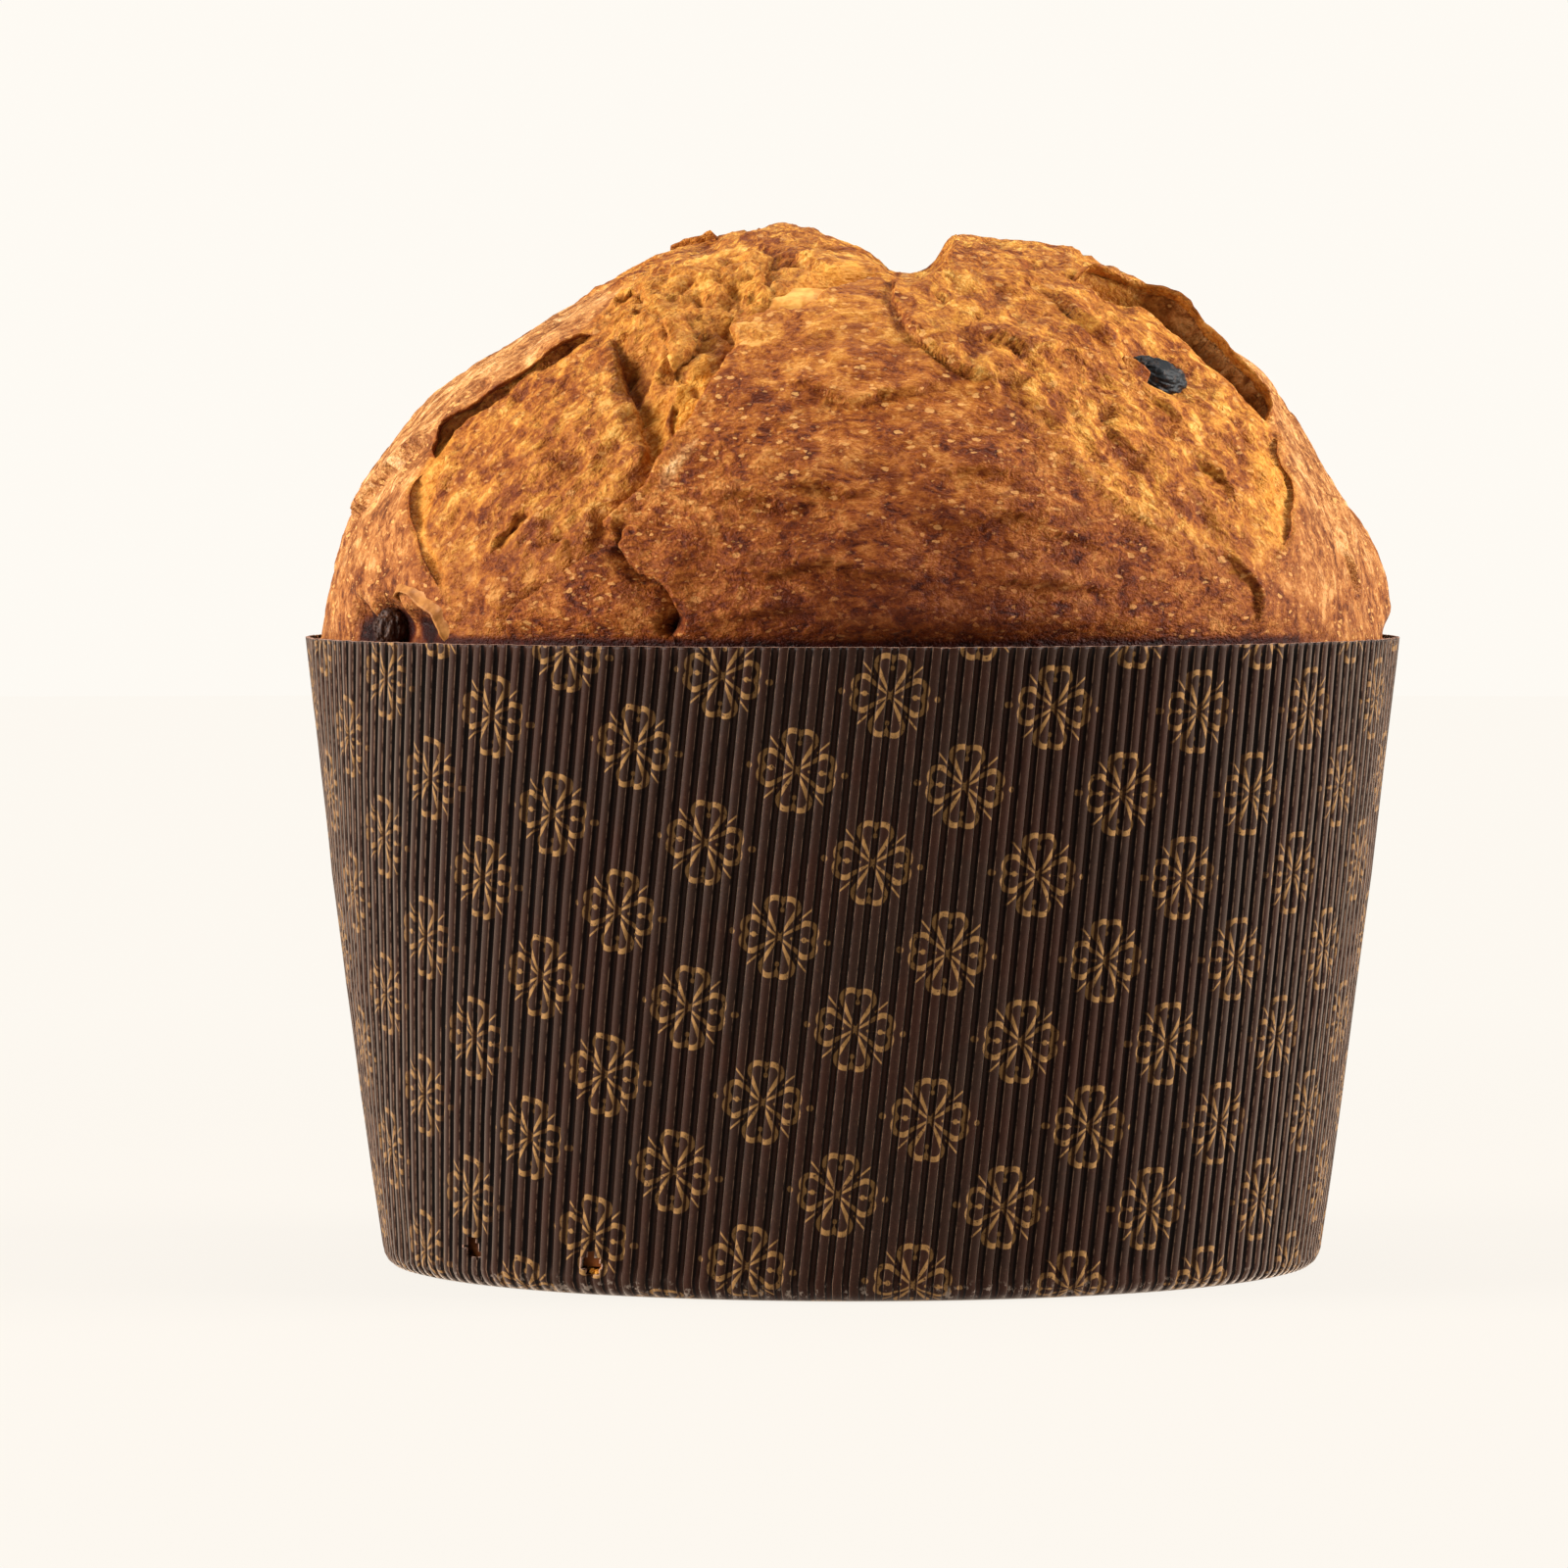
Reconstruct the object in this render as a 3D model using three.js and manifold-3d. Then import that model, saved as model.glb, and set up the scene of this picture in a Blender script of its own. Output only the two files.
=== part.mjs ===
// A tall domed panettone in its flared, corrugated paper baking mould.
// Millimetres, +Z up. The origin is the middle of the mould's underside, on the table.
// Azimuth 0 faces -Y (the front) and grows towards +X. Elevation runs from 0 at the rim to 90 at the crown.
import * as THREE from 'three';
import { mergeVertices } from 'three/addons/utils/BufferGeometryUtils.js';
import Module from 'manifold-3d';

// Mould: a cone of corrugated paper, lined with smooth paper and closed by a disc.
const RIM_RADIUS = 97.5;
const WALL_HEIGHT = 112;
const FLARE = 0.1273; // how far the wall leans out for each millimetre of height
const FLUTE_COUNT = 208;
const FLUTE_DEPTH = 1.1;
const FLUTING_PAPER = 0.4;
const LINER_PAPER = 0.3;
const FOLD_HEIGHT = 3.4; // where the wall turns in at the bottom
const FOLD_REACH = 13.7; // how far the folded edge runs in under the loaf
const DISC_PAPER = 0.6;
const GAP = 0.3; // left between pieces that touch

// Loaf: fills the liner below the rim and domes above it.
const DOME_RADIUS = 95;
const DOME_HEIGHT = 73;
const LOAF_SEGMENTS = 72;
const DOME_ROWS = 18;
const OVERHANG_START = 1.5; // height above the rim where the crust may spread over it

// Two cooling skewers once ran right through the loaf, parallel and just above its base.
const SKEWER_RADIUS = 1.5;
const SKEWER_HEIGHT = 6;
const SKEWER_AZIMUTH = -42;
const SKEWER_OFFSET = 14.3;

// Fruit: half-axes of each ellipsoid, and the azimuth, elevation and sideways tilt where it sits.
const FRUIT = {
  raisin_crown: { axes: [5.4, 3.9, 3.2], azimuth: 49, elevation: 41, tilt: -20, sink: 1.9 },
  raisin_rim: { axes: [2.9, 3.4, 2.8], azimuth: -59.5, elevation: 3.9, tilt: 0, sink: 1.8 },
  raisin_back: { axes: [4.8, 3.6, 3.2], azimuth: 152, elevation: 34, tilt: 30, sink: 1.6 },
  candied_peel_crown: { axes: [6.0, 3.6, 1.6], azimuth: -10, elevation: 55, tilt: 4, sink: 1.0 },
  candied_peel_back: { axes: [6.2, 2.9, 1.7], azimuth: -140, elevation: 28, tilt: 35, sink: 0.8 },
};

// Swells (+) and hollows (-) of the baked crown: azimuth, elevation, angular spread, height.
const CROWN_RELIEF = [
  [2, 24, 24, 2.2], // front flap of crust
  [180, 26, 26, 2.2], // back flap
  [-43, 25, 13, -2.6], // torn face between the front and left flaps
  [45, 27, 14, -2.6], // torn face between the front and right flaps
  [-136, 27, 14, -2.4],
  [135, 26, 14, -2.4],
  [-27, 34, 4, -6.0], // deep tear beside the front flap
  [-90, 50, 22, -3.2], // flattened left shoulder
  [92, 31, 11, -3.2], // waist under the right flap's lifted edge
  [90, 53, 10, 2.4], // lifted edge of the right flap
  [90, 8, 16, 2.2], // right flap spreading over the rim
  [9, 60, 7, -4.5], // cleft at the crown
  [-80, 85, 12, 2.0],
  [86, 70, 9, 3.4], // torn hump right of the cleft
];

const CRUST = new THREE.MeshStandardMaterial({ color: 0x8a4f26, roughness: 0.85, metalness: 0 });
const MOULD_PAPER = new THREE.MeshStandardMaterial({ color: 0x3c2b20, roughness: 0.7, metalness: 0 });
const LINER_FACE = new THREE.MeshStandardMaterial({ color: 0x5a3420, roughness: 0.8, metalness: 0 });
const RAISIN_SKIN = new THREE.MeshStandardMaterial({ color: 0x2a2c30, roughness: 0.5, metalness: 0 });
const PEEL_FLESH = new THREE.MeshStandardMaterial({ color: 0xc98f3c, roughness: 0.45, metalness: 0 });

const wasm = await Module();
wasm.setup();

const radians = THREE.MathUtils.degToRad;
const wallRadius = (height) => RIM_RADIUS - (WALL_HEIGHT - height) * FLARE;

// Strip a geometry to merged positions, so that each edge is shared by exactly two faces.
function welded(geometry) {
  const bare = geometry.clone();
  bare.deleteAttribute('normal');
  bare.deleteAttribute('uv');
  return mergeVertices(bare, 1e-4);
}

function toSolid(geometry) {
  const closed = welded(geometry);
  return new wasm.Manifold(new wasm.Mesh({
    numProp: 3,
    vertProperties: new Float32Array(closed.attributes.position.array),
    triVerts: new Uint32Array(closed.index.array),
  }));
}

function toGeometry(solid) {
  const { vertProperties, triVerts } = solid.getMesh();
  const geometry = new THREE.BufferGeometry();
  geometry.setAttribute('position', new THREE.BufferAttribute(vertProperties, 3));
  geometry.setIndex(new THREE.BufferAttribute(triVerts, 1));
  geometry.computeVertexNormals();
  return geometry;
}

function cut(geometry, tools) {
  return toGeometry(tools.reduce((solid, tool) => solid.subtract(toSolid(tool)), toSolid(geometry)));
}

// Turn a [radius, height] profile about the vertical axis.
function turned(profile, segments) {
  const points = profile.map(([radius, height]) => new THREE.Vector2(radius, height));
  return new THREE.LatheGeometry(points, segments).rotateX(Math.PI / 2);
}

function directionAt(azimuth, elevation) {
  const turn = radians(azimuth);
  const rise = radians(elevation);
  return new THREE.Vector3(
    Math.sin(turn) * Math.cos(rise), -Math.cos(turn) * Math.cos(rise), Math.sin(rise));
}

// Each swell is a bell curve of the angle between a direction and the swell's own direction.
const SWELLS = CROWN_RELIEF.map(([azimuth, elevation, spread, height]) => (
  { centre: directionAt(azimuth, elevation), spread: radians(spread), height }));

function reliefAt(direction) {
  return SWELLS.reduce((sum, { centre, spread, height }) => {
    const angle = Math.acos(THREE.MathUtils.clamp(direction.dot(centre), -1, 1));
    return sum + height * Math.exp(-((angle / spread) ** 2));
  }, 0);
}

// A point on the crown, and the way that the crust faces there. The direction lives on a unit sphere
// that is stretched to the dome's radius and height, and the relief moves the point along the normal.
function onCrown(direction) {
  const normal = new THREE.Vector3(direction.x, direction.y, direction.z * DOME_RADIUS / DOME_HEIGHT);
  normal.normalize();
  const rise = direction.z * DOME_HEIGHT;
  const share = THREE.MathUtils.smoothstep(rise, 0, OVERHANG_START);
  const point = new THREE.Vector3(direction.x * DOME_RADIUS, direction.y * DOME_RADIUS, rise);
  point.addScaledVector(normal, share * reliefAt(direction));
  point.z += WALL_HEIGHT;
  return { point, normal };
}

// The outer sheet as a closed ribbon round the axis. Every second vertex column sinks to a flute's
// valley, except on the part that is folded flat under the loaf.
function flutingGeometry() {
  const foldRadius = wallRadius(FOLD_HEIGHT);
  const turnRadius = foldRadius - FOLD_HEIGHT;
  const lip = FLUTING_PAPER * Math.tan(Math.PI / 8);
  const profile = [
    [foldRadius - FOLD_REACH, 0, 0],
    [turnRadius, 0, 0],
    [foldRadius, FOLD_HEIGHT, 1],
    [RIM_RADIUS, WALL_HEIGHT, 1],
    [RIM_RADIUS - FLUTING_PAPER, WALL_HEIGHT, 1],
    [foldRadius - FLUTING_PAPER, FOLD_HEIGHT + lip, 1],
    [turnRadius - lip, FLUTING_PAPER, 0],
    [foldRadius - FOLD_REACH, FLUTING_PAPER, 0],
  ];
  const points = [...profile, profile[0]].map(([radius, height]) => new THREE.Vector2(radius, height));
  const geometry = new THREE.LatheGeometry(points, 2 * FLUTE_COUNT);
  const position = geometry.attributes.position;
  for (let i = 0; i < position.count; i += 1) {
    const column = Math.floor(i / points.length);
    const fluted = profile[(i % points.length) % profile.length][2];
    const radius = Math.hypot(position.getX(i), position.getZ(i));
    const shrink = 1 - (column % 2) * fluted * FLUTE_DEPTH / radius;
    position.setX(i, position.getX(i) * shrink);
    position.setZ(i, position.getZ(i) * shrink);
  }
  return geometry.rotateX(Math.PI / 2);
}

const linerRadius = (height) => wallRadius(height) - FLUTE_DEPTH - FLUTING_PAPER - GAP;
const LINER_BOTTOM = FOLD_HEIGHT + 1.6;
const LINER_TOP = WALL_HEIGHT - 0.5;

function linerGeometry() {
  const outer = [LINER_BOTTOM, LINER_TOP].map((height) => [linerRadius(height), height]);
  const inner = outer.map(([radius, height]) => [radius - LINER_PAPER, height]).reverse();
  return turned([...outer, ...inner, outer[0]], 96);
}

const DISC_BOTTOM = FLUTING_PAPER + GAP;
const LOAF_BOTTOM = DISC_BOTTOM + DISC_PAPER + GAP;
const DISC_RADIUS = wallRadius(FOLD_HEIGHT) - FOLD_HEIGHT - 1.1;

function discGeometry() {
  return turned([
    [0, DISC_BOTTOM], [DISC_RADIUS, DISC_BOTTOM],
    [DISC_RADIUS, DISC_BOTTOM + DISC_PAPER], [0, DISC_BOTTOM + DISC_PAPER],
  ], 96);
}

// The whole loaf in one profile: flat base, tapered side inside the liner, then the dome, whose
// vertices move on to the torn crown's surface.
function loafGeometry() {
  const sideRadius = (height) => linerRadius(height) - LINER_PAPER - GAP;
  const dome = Array.from({ length: DOME_ROWS + 1 }, (_, row) => {
    const rise = radians(90 * row / DOME_ROWS);
    return [DOME_RADIUS * Math.cos(rise), WALL_HEIGHT + DOME_HEIGHT * Math.sin(rise)];
  });
  dome[DOME_ROWS][0] = 0;
  const side = [LINER_BOTTOM, 40, 76, LINER_TOP].map((height) => [sideRadius(height), height]);
  const geometry = turned([[0, LOAF_BOTTOM], [DISC_RADIUS - 1, LOAF_BOTTOM], ...side, ...dome], LOAF_SEGMENTS);
  const position = geometry.attributes.position;
  const vertex = new THREE.Vector3();
  for (let i = 0; i < position.count; i += 1) {
    vertex.fromBufferAttribute(position, i);
    if (vertex.z <= WALL_HEIGHT) continue;
    vertex.z -= WALL_HEIGHT;
    vertex.divide(new THREE.Vector3(DOME_RADIUS, DOME_RADIUS, DOME_HEIGHT)).normalize();
    position.setXYZ(i, ...onCrown(vertex).point.toArray());
  }
  return geometry;
}

// An ellipsoid of fruit lying in the crust: its first half-axis runs sideways, its third points out.
function fruitGeometry({ axes, azimuth, elevation, tilt, sink }, grow = 0) {
  const { point, normal } = onCrown(directionAt(azimuth, elevation));
  const sideways = new THREE.Vector3(-normal.y, normal.x, 0).normalize();
  const upward = new THREE.Vector3().crossVectors(normal, sideways);
  const place = new THREE.Matrix4().makeBasis(sideways, upward, normal);
  place.multiply(new THREE.Matrix4().makeRotationZ(radians(tilt)));
  place.setPosition(point.addScaledVector(normal, -sink));
  const [x, y, z] = axes.map((axis) => axis + grow);
  return new THREE.SphereGeometry(1, 14, 8).scale(x, y, z).applyMatrix4(place);
}

// A strip of candied peel that arches over the raisin at the rim, round in section.
function peelArchGeometry(thickness) {
  const spots = [[-57, 8.4, 0.6], [-54, 8.6, -0.4], [-51, 6.6, -0.4], [-48.8, 3.4, 0.6]];
  const path = new THREE.CatmullRomCurve3(spots.map(([azimuth, elevation, sink]) => {
    const { point, normal } = onCrown(directionAt(azimuth, elevation));
    return point.addScaledVector(normal, -sink);
  }));
  const section = new THREE.Shape();
  section.absarc(0, 0, thickness / 2, 0, 2 * Math.PI);
  return new THREE.ExtrudeGeometry(section, { steps: 10, extrudePath: path, curveSegments: 8 });
}

// The two straight channels that the skewers left, running through wall, liner and loaf.
function skewerGeometries() {
  return [-1, 1].map((side) => {
    const channel = new THREE.CylinderGeometry(SKEWER_RADIUS, SKEWER_RADIUS, 3 * RIM_RADIUS, 14);
    channel.translate(side * SKEWER_OFFSET, 0, 0);
    return channel.rotateZ(radians(SKEWER_AZIMUTH)).translate(0, 0, SKEWER_HEIGHT);
  });
}

const PEEL_ARCH_THICKNESS = 3.4;
const skewers = skewerGeometries();
const pockets = [
  ...Object.values(FRUIT).map((spot) => fruitGeometry(spot, GAP)),
  peelArchGeometry(PEEL_ARCH_THICKNESS + 2 * GAP),
];

const panettone = new THREE.Group();

function add(name, geometry, material) {
  const mesh = new THREE.Mesh(geometry, material);
  mesh.name = name;
  panettone.add(mesh);
}

add('loaf', cut(loafGeometry(), [...pockets, ...skewers]), CRUST);
add('wall_fluting', cut(flutingGeometry(), skewers), MOULD_PAPER);
add('wall_liner', cut(linerGeometry(), skewers), LINER_FACE);
add('base_disc', discGeometry(), MOULD_PAPER);
Object.entries(FRUIT).forEach(([name, spot]) => {
  add(name, fruitGeometry(spot), name.startsWith('raisin') ? RAISIN_SKIN : PEEL_FLESH);
});
add('candied_peel_rim', peelArchGeometry(PEEL_ARCH_THICKNESS), PEEL_FLESH);

export default panettone;
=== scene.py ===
"""A tall domed panettone in its flared, corrugated paper baking mould, built round its CAD frame.

Shapes are worked out in millimetres and put into the meshes in metres. Azimuth 0 faces -Y (the
front) and grows towards +X; elevation runs from 0 at the mould's rim to 90 at the crown.
"""

import itertools
import math

import bmesh
import bpy
import numpy as np
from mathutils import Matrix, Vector


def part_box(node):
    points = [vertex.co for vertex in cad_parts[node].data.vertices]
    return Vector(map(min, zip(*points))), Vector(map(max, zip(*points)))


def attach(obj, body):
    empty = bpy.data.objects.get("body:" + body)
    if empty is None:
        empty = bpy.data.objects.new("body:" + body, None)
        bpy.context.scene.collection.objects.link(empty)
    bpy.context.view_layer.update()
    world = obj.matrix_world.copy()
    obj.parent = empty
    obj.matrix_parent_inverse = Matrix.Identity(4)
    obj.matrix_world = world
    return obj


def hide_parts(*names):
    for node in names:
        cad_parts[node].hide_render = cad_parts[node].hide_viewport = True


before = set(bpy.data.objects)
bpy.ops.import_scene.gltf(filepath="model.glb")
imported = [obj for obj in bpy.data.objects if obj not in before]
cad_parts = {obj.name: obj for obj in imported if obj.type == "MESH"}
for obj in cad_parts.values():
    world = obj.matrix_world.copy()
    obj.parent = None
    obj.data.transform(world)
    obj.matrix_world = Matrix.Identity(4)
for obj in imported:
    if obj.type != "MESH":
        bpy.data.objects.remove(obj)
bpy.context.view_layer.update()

bl_info = {
    "name": "Panettone in a paper mould",
    "version": (1, 0, 0),
    "blender": (4, 5, 0),
    "location": "View3D > Sidebar > Panettone",
    "description": "Builds a torn, domed panettone and its printed, corrugated baking mould",
    "category": "Add Mesh",
}

MM = 0.001


def node_millimetres(node):
    """The lowest and highest corner of a CAD node, in millimetres."""
    return [(np.array(corner) / MM).tolist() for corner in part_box(node)]


_, (RIM_RADIUS, _, RIM_HEIGHT) = node_millimetres("wall_fluting")
(_, _, LINER_BOTTOM), (_, _, LINER_TOP) = node_millimetres("wall_liner")
LOAF_BOTTOM = node_millimetres("loaf")[0][2]

# The plain dome's half-width and height over the rim, and how far the wall leans out for each
# millimetre of height.
DOME_RADIUS = 95.0
DOME_HEIGHT = 73.0
FLARE = 0.1273
# The wall unrolls into a sector of a ring: the sine and cosine of the cone's half-angle, the
# sector's outer radius, the azimuth of its middle line and the width of its glued lap.
SHEET_SINE = FLARE / math.hypot(1.0, FLARE)
SHEET_COSINE = SHEET_SINE / FLARE
SHEET_RADIUS = RIM_RADIUS / SHEET_SINE
SHEET_MIDDLE = 46.7
LAP_WIDTH = 7.0
# The bend at the wall's foot, and how far the loaf and the liner stand inside the plain cone.
FOLD_BEND = 3.2
LOAF_INSET = 2.4
LINER_INSET = 1.8
LINER_THICKNESS = 0.3
# How strongly the crown's grid is drawn towards the front, where its cells are finest.
FRONT_DRAW = 0.15
# Each skewer hole's azimuth and height, and the half-width and half-height that they share.
SKEWERS = ((-51.8, 6.7), (-32.2, 5.3), (147.8, 6.0), (128.2, 6.0))
SKEWER_HALVES = (1.9, 2.1)
# How deep the skewers' pits run into the loaf, and below what height its bottom corner is round.
SKEWER_DEPTH = 22.0
CORNER_HEIGHT = 5.0
# Crumbs in a skewer hole: millimetres aside and up from its middle, and radius.
CRUMBS = ((-0.9, -1.2, 0.62), (0.3, -1.35, 0.75), (1.0, -0.8, 0.5))
# The whole-number hash behind all noise: a factor for each axis, for the seed and for each mixing.
AXIS_FACTORS = np.array([73856093, 19349663, 83492791])
SEED_FACTOR = 2654435761
MIX_FACTORS = (2246822519, 3266489917)
WORD = 0xFFFFFFFF


# ---------------------------------------------------------------- numbers that look like chance


def lattice_value(cell, seed):
    """A repeatable number from -1 to 1 for each whole-number cell: its indices are multiplied by
    large odd numbers, summed, and mixed by shifts and multiplications."""
    mixed = (cell.astype(np.int64) * AXIS_FACTORS).sum(-1)
    mixed = (mixed + seed * SEED_FACTOR) & WORD
    mixed = ((mixed ^ (mixed >> 15)) * MIX_FACTORS[0]) & WORD
    mixed = ((mixed ^ (mixed >> 13)) * MIX_FACTORS[1]) & WORD
    return (mixed ^ (mixed >> 16)) / (WORD / 2) - 1.0


def value_noise(points, seed):
    """Smooth noise from -1 to 1: cell corner values, blended by a cubic ease along each axis."""
    cell = np.floor(points)
    offset = points - cell
    ease = offset * offset * (3.0 - 2.0 * offset)
    total = np.zeros(len(points))
    for corner in itertools.product((0, 1), repeat=3):
        weight = np.prod(np.where(corner, ease, 1.0 - ease), axis=-1)
        total += weight * lattice_value(cell + corner, seed)
    return total


def fractal_noise(points, seed, octaves=4, gain=0.5):
    """Value noise summed over octaves, each twice as fine and gain times as strong."""
    total = np.zeros(len(points))
    strength, reach = 1.0, 0.0
    for octave in range(octaves):
        total += strength * value_noise(points * 2.0**octave, seed + octave)
        reach += strength
        strength *= gain
    return total / reach


def line_noise(values, seed):
    """Value noise from -1 to 1, read along one line."""
    spots = np.zeros((len(values), 3))
    spots[:, 0] = values
    return value_noise(spots + 0.5, seed)


def smooth_step(low, high, value):
    """0 below low, 1 above high, and a cubic ease between them."""
    share = np.clip((value - low) / (high - low), 0.0, 1.0)
    return share * share * (3.0 - 2.0 * share)


# ---------------------------------------------------------------- meshes


def mesh_piece(name, points, faces, smooth=True):
    """A mesh object from points in millimetres and an array of triangles or quads."""
    mesh = bpy.data.meshes.new(name)
    mesh.vertices.add(len(points))
    mesh.vertices.foreach_set("co", (np.asarray(points) * MM).astype(np.float32).ravel())
    sides = faces.shape[1]
    mesh.loops.add(faces.size)
    mesh.loops.foreach_set("vertex_index", faces.astype(np.int32).ravel())
    mesh.polygons.add(len(faces))
    mesh.polygons.foreach_set("loop_start", np.arange(len(faces), dtype=np.int32) * sides)
    mesh.polygons.foreach_set("use_smooth", np.full(len(faces), smooth))
    mesh.update(calc_edges=True)
    mesh.validate()
    piece = bpy.data.objects.new(name, mesh)
    bpy.context.scene.collection.objects.link(piece)
    return piece


def store(piece, name, values):
    """Keeps one number for each vertex, for the piece's material to read."""
    layer = piece.data.attributes.new(name, "FLOAT", "POINT")
    layer.data.foreach_set("value", np.asarray(values, dtype=np.float32))


def store_places(piece, name, values):
    """Keeps one place for each vertex, for the piece's material to read noise at."""
    layer = piece.data.attributes.new(name, "FLOAT_VECTOR", "POINT")
    layer.data.foreach_set("vector", np.asarray(values, dtype=np.float32).ravel())


def store_uv(piece, flat):
    """Gives each face corner its vertex's place on the flat sheet."""
    layer = piece.data.uv_layers.new(name="sheet")
    corner = np.empty(len(piece.data.loops), dtype=np.int32)
    piece.data.loops.foreach_get("vertex_index", corner)
    layer.data.foreach_set("uv", flat[corner].astype(np.float32).ravel())


def grid_quads(rows, columns, closed=False):
    """Faces of a grid numbered row by row. A closed grid's last column meets its first."""
    index = np.arange(rows * columns).reshape(rows, columns)
    after = np.roll(index, -1, axis=1)
    here = index if closed else index[:, :-1]
    after = after if closed else after[:, :-1]
    return np.stack([here[:-1], after[:-1], after[1:], here[1:]], axis=-1).reshape(-1, 4)


def split_quads(quads):
    """Two triangles for each quad."""
    return np.vstack([quads[:, [0, 1, 2]], quads[:, [0, 2, 3]]])


def thicken(piece, thickness, rim_slot=0):
    """Gives a sheet its thickness in millimetres, inwards."""
    wall = piece.modifiers.new("thickness", "SOLIDIFY")
    wall.thickness = thickness * MM
    wall.offset = -1.0
    wall.use_even_offset = False
    wall.material_offset_rim = rim_slot


def place(piece, node, slot, *materials):
    """Puts a finished piece on the only body, in place of its CAD node."""
    for material in materials:
        piece.data.materials.append(material)
    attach(piece, "root")
    if node:
        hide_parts(node)


# ---------------------------------------------------------------- the crown's surface


def direction_at(azimuth, elevation):
    """Unit directions for azimuths and elevations in degrees."""
    turn, rise = np.radians(azimuth), np.radians(elevation)
    level = np.cos(rise)
    return np.stack([np.sin(turn) * level, -np.cos(turn) * level, np.sin(rise)], axis=-1)


def azimuth_of(points):
    """Each point's azimuth in degrees."""
    return np.degrees(np.arctan2(points[:, 0], -points[:, 1]))


def turn_from(start, azimuth):
    """Degrees from one azimuth to others, the short way round."""
    return (azimuth - start + 180.0) % 360.0 - 180.0


def dome_point(direction):
    """A unit direction stretched to the dome's radius and height, standing on the rim."""
    point = direction * np.array([DOME_RADIUS, DOME_RADIUS, DOME_HEIGHT])
    return point + np.array([0.0, 0.0, RIM_HEIGHT])


def dome_normal(direction):
    """The way that the plain dome faces in each direction."""
    normal = direction * np.array([1.0, 1.0, DOME_RADIUS / DOME_HEIGHT])
    return normal / np.linalg.norm(normal, axis=-1, keepdims=True)


def smooth_curve(spots, steps):
    """A Catmull-Rom curve through spots of any dimension."""
    spots = np.asarray(spots, dtype=float)
    ends = np.vstack([2 * spots[0] - spots[1], spots, 2 * spots[-1] - spots[-2]])
    share = np.linspace(0.0, 1.0, steps, endpoint=False)[:, None]
    pieces = []
    for before, start, end, after in zip(ends, ends[1:], ends[2:], ends[3:]):
        pieces.append(
            0.5 * (2 * start + (end - before) * share
                   + (2 * before - 5 * start + 4 * end - after) * share**2
                   + (3 * start - before - 3 * end + after) * share**3)
        )
    return np.vstack(pieces + [spots[-1:]])


def smooth_route(spots, steps=10):
    """A smooth curve through (azimuth, elevation) spots, laid on the plain dome."""
    route = smooth_curve(spots, steps)
    return dome_point(direction_at(route[:, 0], route[:, 1]))


# The numbers that colour the crust, and what those inside the mould are where they aren't 0.
# The dark mask holds a darker bake and painted shade in gaps, pits, creases and under lips;
# the tan mask holds a real tan patch and painted sheen on the flanks.
MASKS = ("torn", "bake_and_shade", "crumb", "upright", "tan")
HIDDEN_MASKS = {"bake_and_shade": 0.55, "torn": 0.3}


def slanted_places(points):
    """Places squeezed across a slant that runs down and outwards, the way that torn dough was
    drawn, so that noise read at them makes slanting strands."""
    outward_share, down_share, squeeze = 0.78, 0.62, 1.8
    across, depth, up = points.T
    outward = across * np.tanh(across / 12.0)
    along = outward_share * outward - down_share * up
    over = down_share * outward + outward_share * up
    return np.stack([along, depth, squeeze * over], -1)


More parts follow.
